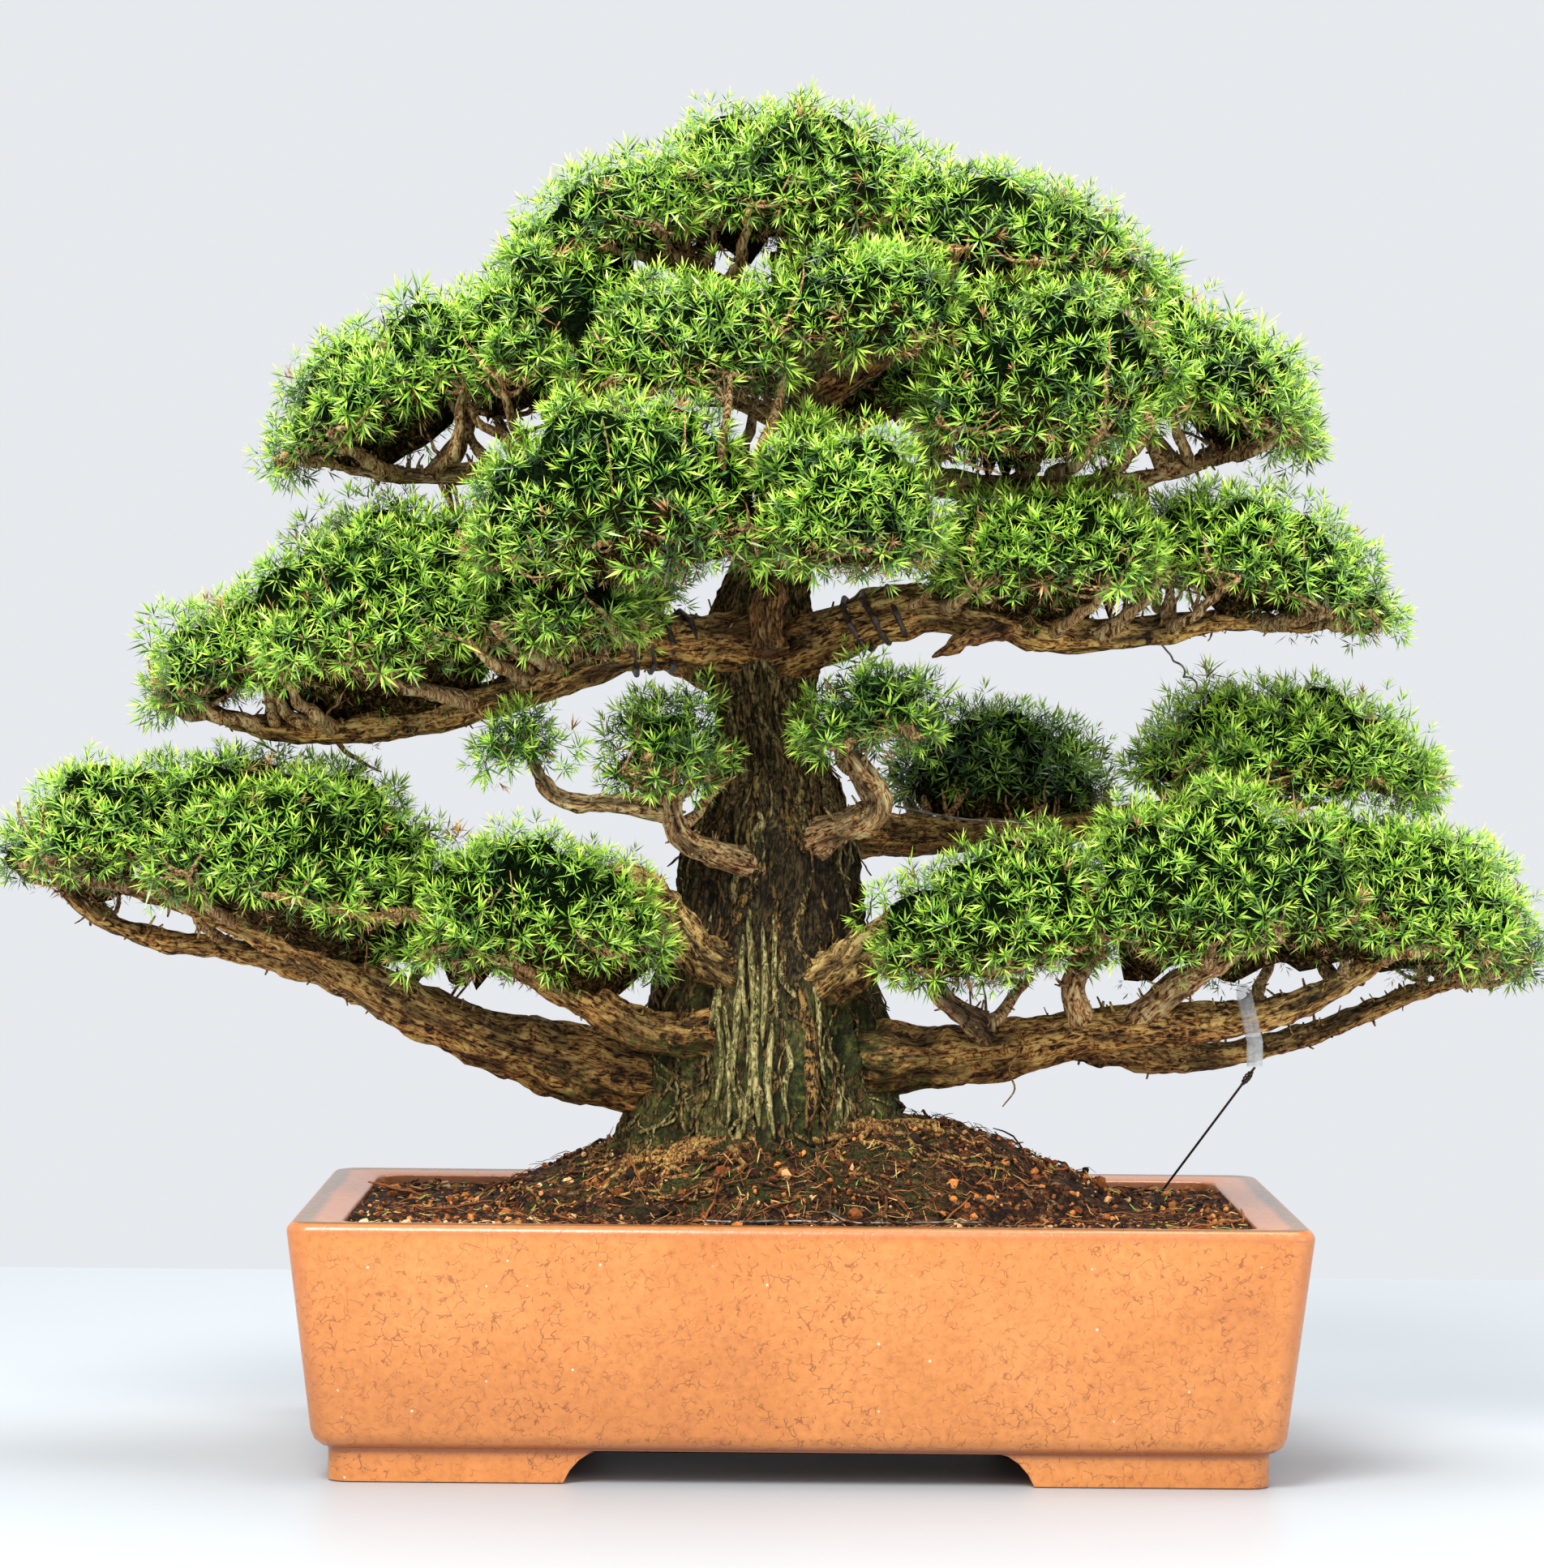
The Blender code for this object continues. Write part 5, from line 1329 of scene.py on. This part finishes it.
def make_soil():
    """Rings from the lip of the pot in to the middle of the mound, with a skirt below the lip and a flat
    underside, so that it is one closed body."""
    half_x, half_y = HALF_LENGTH / MM - LIP_WIDTH / MM, HALF_DEPTH / MM - LIP_WIDTH / MM
    turn = np.linspace(0, 2 * math.pi, 400, endpoint=False)
    squared = np.stack([np.sign(np.cos(turn)) * np.abs(np.cos(turn)) ** 0.16,
                        np.sign(np.sin(turn)) * np.abs(np.sin(turn)) ** 0.16], 1)
    edge = squared * np.array([half_x, half_y])
    share = np.concatenate([np.linspace(1, 0.04, 76) ** 0.9, [0.0005]])
    x = share[:, None] * edge[None, :, 0]
    y = share[:, None] * edge[None, :, 1]
    top = np.stack([x, y, soil_level(x, y)], -1)
    skirt = np.stack([edge[:, 0] * 0.985, edge[:, 1] * 0.985, np.full(len(edge), -34.0)], -1)
    bottom = np.stack([edge[:, 0] * 0.95, edge[:, 1] * 0.93, np.full(len(edge), -98.0)], -1)
    points = np.vstack([bottom[None], skirt[None], top])
    rows, columns = points.shape[:2]
    mesh = new_mesh("soil", placed(points.reshape(-1, 3)), closed_grids(1, rows, columns))
    new_piece("soil_mound", mesh, SOIL, "soil", "soil")


def on_soil(rng, count, near_trunk=0.0):
    """Random places on the soil, clear of the trunk, in millimetres."""
    half_x, half_y = (half / MM - LIP_WIDTH / MM - SOIL_MARGIN for half in (HALF_LENGTH, HALF_DEPTH))
    x = rng.uniform(-half_x, half_x, count * 2)
    y = rng.uniform(-half_y, half_y, count * 2)
    if near_trunk:
        x = x * (1 - near_trunk) + rng.normal(-10, 60, count * 2) * near_trunk
    keep = (np.hypot((x + 19) / 78, (y - 8) / 66) > 1) & (np.abs(x) < half_x) & (np.abs(y) < half_y)
    x, y = x[keep][:count], y[keep][:count]
    return np.stack([x, y, soil_level(x, y)], 1)


def make_crumbs():
    """Crumbs and pebbles: lumps of 20 faces, each squashed and turned its own way."""
    rng = np.random.default_rng(SEED + 1)
    golden = (1 + 5**0.5) / 2
    ball = np.array([(-1, golden, 0), (1, golden, 0), (-1, -golden, 0), (1, -golden, 0), (0, -1, golden),
                     (0, 1, golden), (0, -1, -golden), (0, 1, -golden), (golden, 0, -1), (golden, 0, 1),
                     (-golden, 0, -1), (-golden, 0, 1)], float)
    ball = unit(ball)
    triangles = np.array([
        (0, 11, 5), (0, 5, 1), (0, 1, 7), (0, 7, 10), (0, 10, 11), (1, 5, 9), (5, 11, 4), (11, 10, 2),
        (10, 7, 6),
        (7, 1, 8), (3, 9, 4), (3, 4, 2), (3, 2, 6), (3, 6, 8), (3, 8, 9), (4, 9, 5), (2, 4, 11), (6, 2, 10),
        (8, 6, 7), (9, 8, 1)])
    places = on_soil(rng, 3200)
    count = len(places)
    size = rng.uniform(0.6, 1.9, count) * (1 + 0.9 * (rng.uniform(size=count) < 0.06))
    turn, _ = np.linalg.qr(rng.normal(size=(count, 3, 3)))
    turn = turn * np.sign(np.linalg.det(turn))[:, None, None]
    stretch = rng.uniform(0.55, 1.35, (count, 1, 3))
    points = np.einsum("nci,nij->ncj", ball[None] * stretch * size[:, None, None]
                       * (1 + 0.16 * rng.normal(size=(count, 12, 1))), turn) + places[:, None]
    faces = (triangles[None] + 12 * np.arange(count)[:, None, None]).reshape(-1, 3)
    pale = (places[:, 0] < -120) & (places[:, 1] < -95)
    tone = np.clip(rng.beta(1.6, 2.4, count) + pale * rng.uniform(0, 0.5, count), 0, 1)
    tone = np.where(rng.uniform(size=count) < 0.015, 0.98, np.minimum(tone, np.where(pale, 1.0, 0.88)))
    growth = np.stack([np.repeat(tone, 12), np.tile(ball[:, 2] * 0.4 + 0.5, count), np.zeros(12 * count)], 1)
    mesh = new_mesh("crumbs", placed(points.reshape(-1, 3)), [faces], smooth=False)
    give_map(mesh, "OFBake", growth[:, :2] + 0.004 * rng.uniform(size=(12 * count, 2)))
    give_vectors(mesh, "growth", growth)
    new_piece("soil_crumbs", mesh, CRUMBS, "soil")


def lying_lines(rng, places, length, steps, wander, hug=0.7):
    """Curved lines that start at the places and follow the soil: each turns a little at every step."""
    count = len(places)
    heading = rng.uniform(0, 2 * math.pi, count)
    turns = heading[:, None] + np.cumsum(rng.normal(0, wander, (count, steps)), axis=1)
    step = (length / (steps - 1))[:, None]
    x = places[:, :1] + np.cumsum(np.cos(turns) * step, axis=1)
    y = places[:, 1:2] + np.cumsum(np.sin(turns) * step, axis=1)
    limit_x, limit_y = HALF_LENGTH / MM - LIP_WIDTH / MM - 2, HALF_DEPTH / MM - LIP_WIDTH / MM - 2
    x, y = np.clip(x, -limit_x, limit_x), np.clip(y, -limit_y, limit_y)
    return np.stack([x, y, soil_level(x, y) + hug], -1)


def make_fibres():
    """Fine roots, dry needles and twigs lying on the soil."""
    rng = np.random.default_rng(SEED + 2)
    batches = []
    # count, shortest and longest, half thickness, wander, steps, tones, lift
    for count, short, long, thick, wander, steps, tones, lift in (
            (1050, 7, 22, 0.24, 0.5, 5, (0.05, 0.74), 0.7),
            (560, 4, 9, 0.38, 0.06, 3, (0.40, 0.90), 1.0),
            (110, 4, 8, 0.42, 0.05, 3, (0.95, 1.0), 1.4),
            (90, 14, 42, 0.75, 0.22, 8, (0.12, 0.62), 1.1)):
        places = on_soil(rng, count, near_trunk=0.5 if wander > 0.4 else 0.0)
        count = len(places)
        lines = lying_lines(rng, places, rng.uniform(short, long, count), steps, wander, lift)
        tilt = rng.normal(0, 0.16, (count, 1)) * np.linspace(0, 1, steps)[None] * (short + long) / 2
        lines[..., 2] += np.abs(tilt)
        taper = 1 - 0.55 * np.abs(np.linspace(-1, 1, steps))[None] ** 2
        radii = thick * taper * rng.uniform(0.7, 1.3, (count, 1))
        points, faces = tubes(lines, radii, 4 if thick < 0.8 else 6)
        tone = rng.uniform(*tones, count)
        batches.append((points, faces, np.repeat(tone, len(points) // count)))
    points, faces = joined([(p, f) for p, f, _ in batches])
    tone = np.concatenate([t for *_, t in batches])
    mesh = new_mesh("fibres", placed(points), faces)
    give_map(mesh, "OFBake", np.stack([tone + 0.003 * rng.uniform(size=len(tone)),
                                       rng.uniform(0.3, 0.7, len(tone))], 1))
    give_vectors(mesh, "growth", np.stack([tone, 0 * tone, 0 * tone], 1))
    new_piece("soil_fibres", mesh, FIBRES, "soil")


def make_roots():
    """Surface roots that run out from the trunk's foot down the mound, and one loop that stands clear."""
    rng = np.random.default_rng(SEED + 3)
    count, steps = 34, 16
    turn = rng.uniform(0, 2 * math.pi, count)
    turn = np.where(np.arange(count) < 20, rng.uniform(-math.pi, 0, count), turn)
    t = np.linspace(0, 1, steps)[None]
    reach = rng.uniform(30, 105, (count, 1))
    bend = turn[:, None] + np.cumsum(rng.normal(0, 0.07, (count, steps)), axis=1)
    x = -19 + np.cos(bend) * (66 + reach * t)
    y = 8 + np.sin(bend) * (56 + reach * 0.72 * t)
    x = np.clip(x, -HALF_LENGTH / MM + 30, HALF_LENGTH / MM - 30)
    y = np.clip(y, -HALF_DEPTH / MM + 30, HALF_DEPTH / MM - 30)
    radii = rng.uniform(0.9, 3.0, (count, 1)) * (1 - 0.72 * t)
    z = soil_level(x, y) + radii * 0.2 + 1.2 * np.sin(np.pi * 3 * t + turn[:, None])
    points, faces = tubes(np.stack([x, y, z], -1), radii, 8)
    loop_turn = np.linspace(-0.5, math.pi + 0.4, 14)
    loop = np.stack([-139 + 9 * np.cos(loop_turn), -60 + 5 * loop_turn,
                     soil_level(-139, -60) + 1 + 11 * np.sin(loop_turn)], 1)
    loop_points, loop_faces = tubes(loop[None], np.full((1, 14), 1.1), 8)
    all_points, all_faces = joined([(points, faces), (loop_points, loop_faces)])
    world = placed(all_points)
    stain_and_painted_light = np.column_stack([np.full(len(world), 0.10), np.full(len(world), 0.1),
                             np.clip(0.35 + 0.3 * value_noise(world * 60, 4), 0, 1)])
    wood_piece("surface_roots", world, all_faces, world, stain_and_painted_light, BARK)


def wire_ends(node, radius, towards_x):
    """Upper and lower end of a CAD wire in millimetres. Its upper end lies at the front of its box and
    its lower end at the back; towards_x is 1 where it falls towards +X and -1 where it falls towards -X."""
    low, high = (np.array(corner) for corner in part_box(node))
    low, high = (low - ORIGIN) / MM + radius, (high - ORIGIN) / MM - radius
    left, right = (low[0], high[0]) if towards_x > 0 else (high[0], low[0])
    return np.array([left, low[1], high[2]]), np.array([right, high[1], low[2]])


def add_wire(name, path, radius, material, *stands_for):
    """One round wire along a path in millimetres."""
    points, faces = tubes(np.asarray(path)[None], np.full((1, len(path)), radius), 8)
    new_piece(name, new_mesh(name, placed(points), faces), material, "steel_wire", *stands_for)


def coil(start, end, turns, radius, steps, first=0.0, last=1.0):
    """A straight run with a coil round it between two shares of its length, growing and shrinking by a
    half wave."""
    t = np.linspace(0, 1, steps)[:, None]
    ahead = unit(end - start)
    side = unit(np.cross(ahead, [0.0, 1.0, 0.0]))
    part = np.clip((t - first) / (last - first), 0, 1)
    angle = 2 * math.pi * turns * part
    round_it = np.cos(angle) * side + np.sin(angle) * np.cross(ahead, side)
    return start + (end - start) * t + round_it * radius * np.sin(math.pi * part)


def make_wires():
    """The curly tie wire, the guy wire's twisted end, and wires that lie behind the tuft and on the soil."""
    upper, lower = wire_ends("tie_wire", 0.55, 1)
    path = coil(upper, lower, 5, 2.2, 120, 0.05, 0.6)
    path[:, 0] += 12 * np.sin(math.pi * np.linspace(0, 1, len(path)))
    add_wire("curled_tie_wire", path, 0.55, PALE_WIRE, "tie_wire")
    top, bottom = wire_ends("guy_wire", 0.65, -1)
    ahead = unit(bottom - top)
    add_wire("guy_twist", coil(top, top + ahead * 26, 6, 1.5, 90, 0.1, 0.9), 0.5, DARK_WIRE)
    add_wire("rear_wire", smooth_path([(48, 6, 201), (80, 2, 195), (112, -2, 193), (130, -4, 190)], 6), 0.55,
             PALE_WIRE)
    for name, route in (("soil_wire_left", [(-52, -112), (-34, -116), (-8, -113), (20, -118)]),
                        ("soil_wire_right", [(12, -106), (28, -116), (58, -118), (90, -115)])):
        flat = smooth_path(route, 8)
        height = np.convolve(np.pad(soil_level(flat[:, 0], flat[:, 1]), 3, "edge"), np.full(7, 1 / 7),
                             "valid")
        add_wire(name, np.column_stack([flat, height + 2.2]), 0.8, PALE_WIRE)


def make_rootlet():
    """A thin root that hangs from the low right branch."""
    path = smooth_path([(108, -42, 93), (112, -47, 82), (105, -49, 70), (108, -49, 60), (102, -48, 51)], 5)
    radii = np.linspace(0.95, 0.35, len(path))[None]
    points, faces = tubes(path[None], radii, 7)
    world = placed(points)
    wood_piece("hanging_rootlet", world, faces, world, np.tile([0.0, 0.0, 0.5], (len(world), 1)), BARK)


make_soil()
make_crumbs()
make_fibres()
make_roots()
make_wires()
make_rootlet()


# ---------------------------------------------------------------- floor, light and camera

def flat_material(name, colour, roughness):
    """A plain surface with a faint broad mottle."""
    material, tree, shader = new_material(name, roughness)
    shade = noise(tree, coordinates(tree, "Object"), 2.5, 2)
    tree.links.new(ramp(tree, shade, (0.3, tuple(0.985 * c for c in colour)), (0.7, colour)),
                   shader.inputs["Base Color"])
    return material


def make_floor():
    """The table under the pot, as a backdrop."""
    half = 0.86
    points = np.array([(-half * 2, -half * 2, 0), (half * 2, -half * 2, 0), (half * 2, half, 0),
                       (-half * 2, half, 0)], float)
    points[:, 2] = -0.0004
    mesh = new_mesh("floor", points, [np.array([(0, 1, 2, 3)])])
    floor = bpy.data.objects.new("floor", mesh)
    bpy.context.scene.collection.objects.link(floor)
    mesh.materials.append(flat_material("pale_table", (0.455, 0.492, 0.522), 0.42))


def area_light(name, place, aim, size, power, colour=(1, 1, 1)):
    """A square light at a place that faces a point."""
    data = bpy.data.lights.new(name, "AREA")
    data.size = size
    data.energy = power
    data.color = colour
    light = bpy.data.objects.new(name, data)
    bpy.context.scene.collection.objects.link(light)
    light.location = place
    back = np.array(place) - np.array(aim)
    light.rotation_euler = Matrix([*zip(*look_axes(back))]).to_euler()


def look_axes(back):
    """Right, up and back directions of something that looks away from back."""
    back = unit(np.asarray(back, float))
    right = unit(np.cross((0, 0, 1), back))
    return [tuple(right), tuple(np.cross(back, right)), tuple(back)]


def make_lights():
    """A strong light from the upper left front, one overhead, a weak one from the right and a pale room."""
    middle = (0, 0, 0.34)
    area_light("key", (-0.7, -1.9, 2.3), middle, 1.15, 98, (1.0, 0.975, 0.94))
    area_light("top", (0.3, 0.3, 2.4), middle, 1.3, 48, (1.0, 0.99, 0.97))
    area_light("fill", (1.9, -1.5, 0.9), middle, 1.6, 14, (0.95, 0.97, 1.0))
    world = bpy.data.worlds.new("room")
    bpy.context.scene.world = world
    world.use_nodes = True
    background = world.node_tree.nodes["Background"]
    background.inputs["Color"].default_value = (0.90, 0.925, 0.96, 1)
    background.inputs["Strength"].default_value = 0.885


def make_camera():
    """A long lens in front of the pot, a little above its rim."""
    data = bpy.data.cameras.new("camera")
    data.sensor_fit = "HORIZONTAL"
    data.sensor_width = 36.0
    data.lens = 129.65
    data.clip_end = 50
    camera = bpy.data.objects.new("camera", data)
    bpy.context.scene.collection.objects.link(camera)
    place = Matrix.Translation((ORIGIN[0] - 0.0291, ORIGIN[1] - 2.847, ORIGIN[2] + 0.2574))
    turn = Matrix.Rotation(-0.0048, 4, "Z") @ Matrix.Rotation(math.pi / 2 - 0.016, 4, "X")
    turn = turn @ Matrix.Rotation(0.0091, 4, "Z")
    camera.matrix_world = place @ turn
    bpy.context.scene.camera = camera


make_floor()
make_lights()
make_camera()
bpy.context.scene.view_settings.view_transform = "Standard"
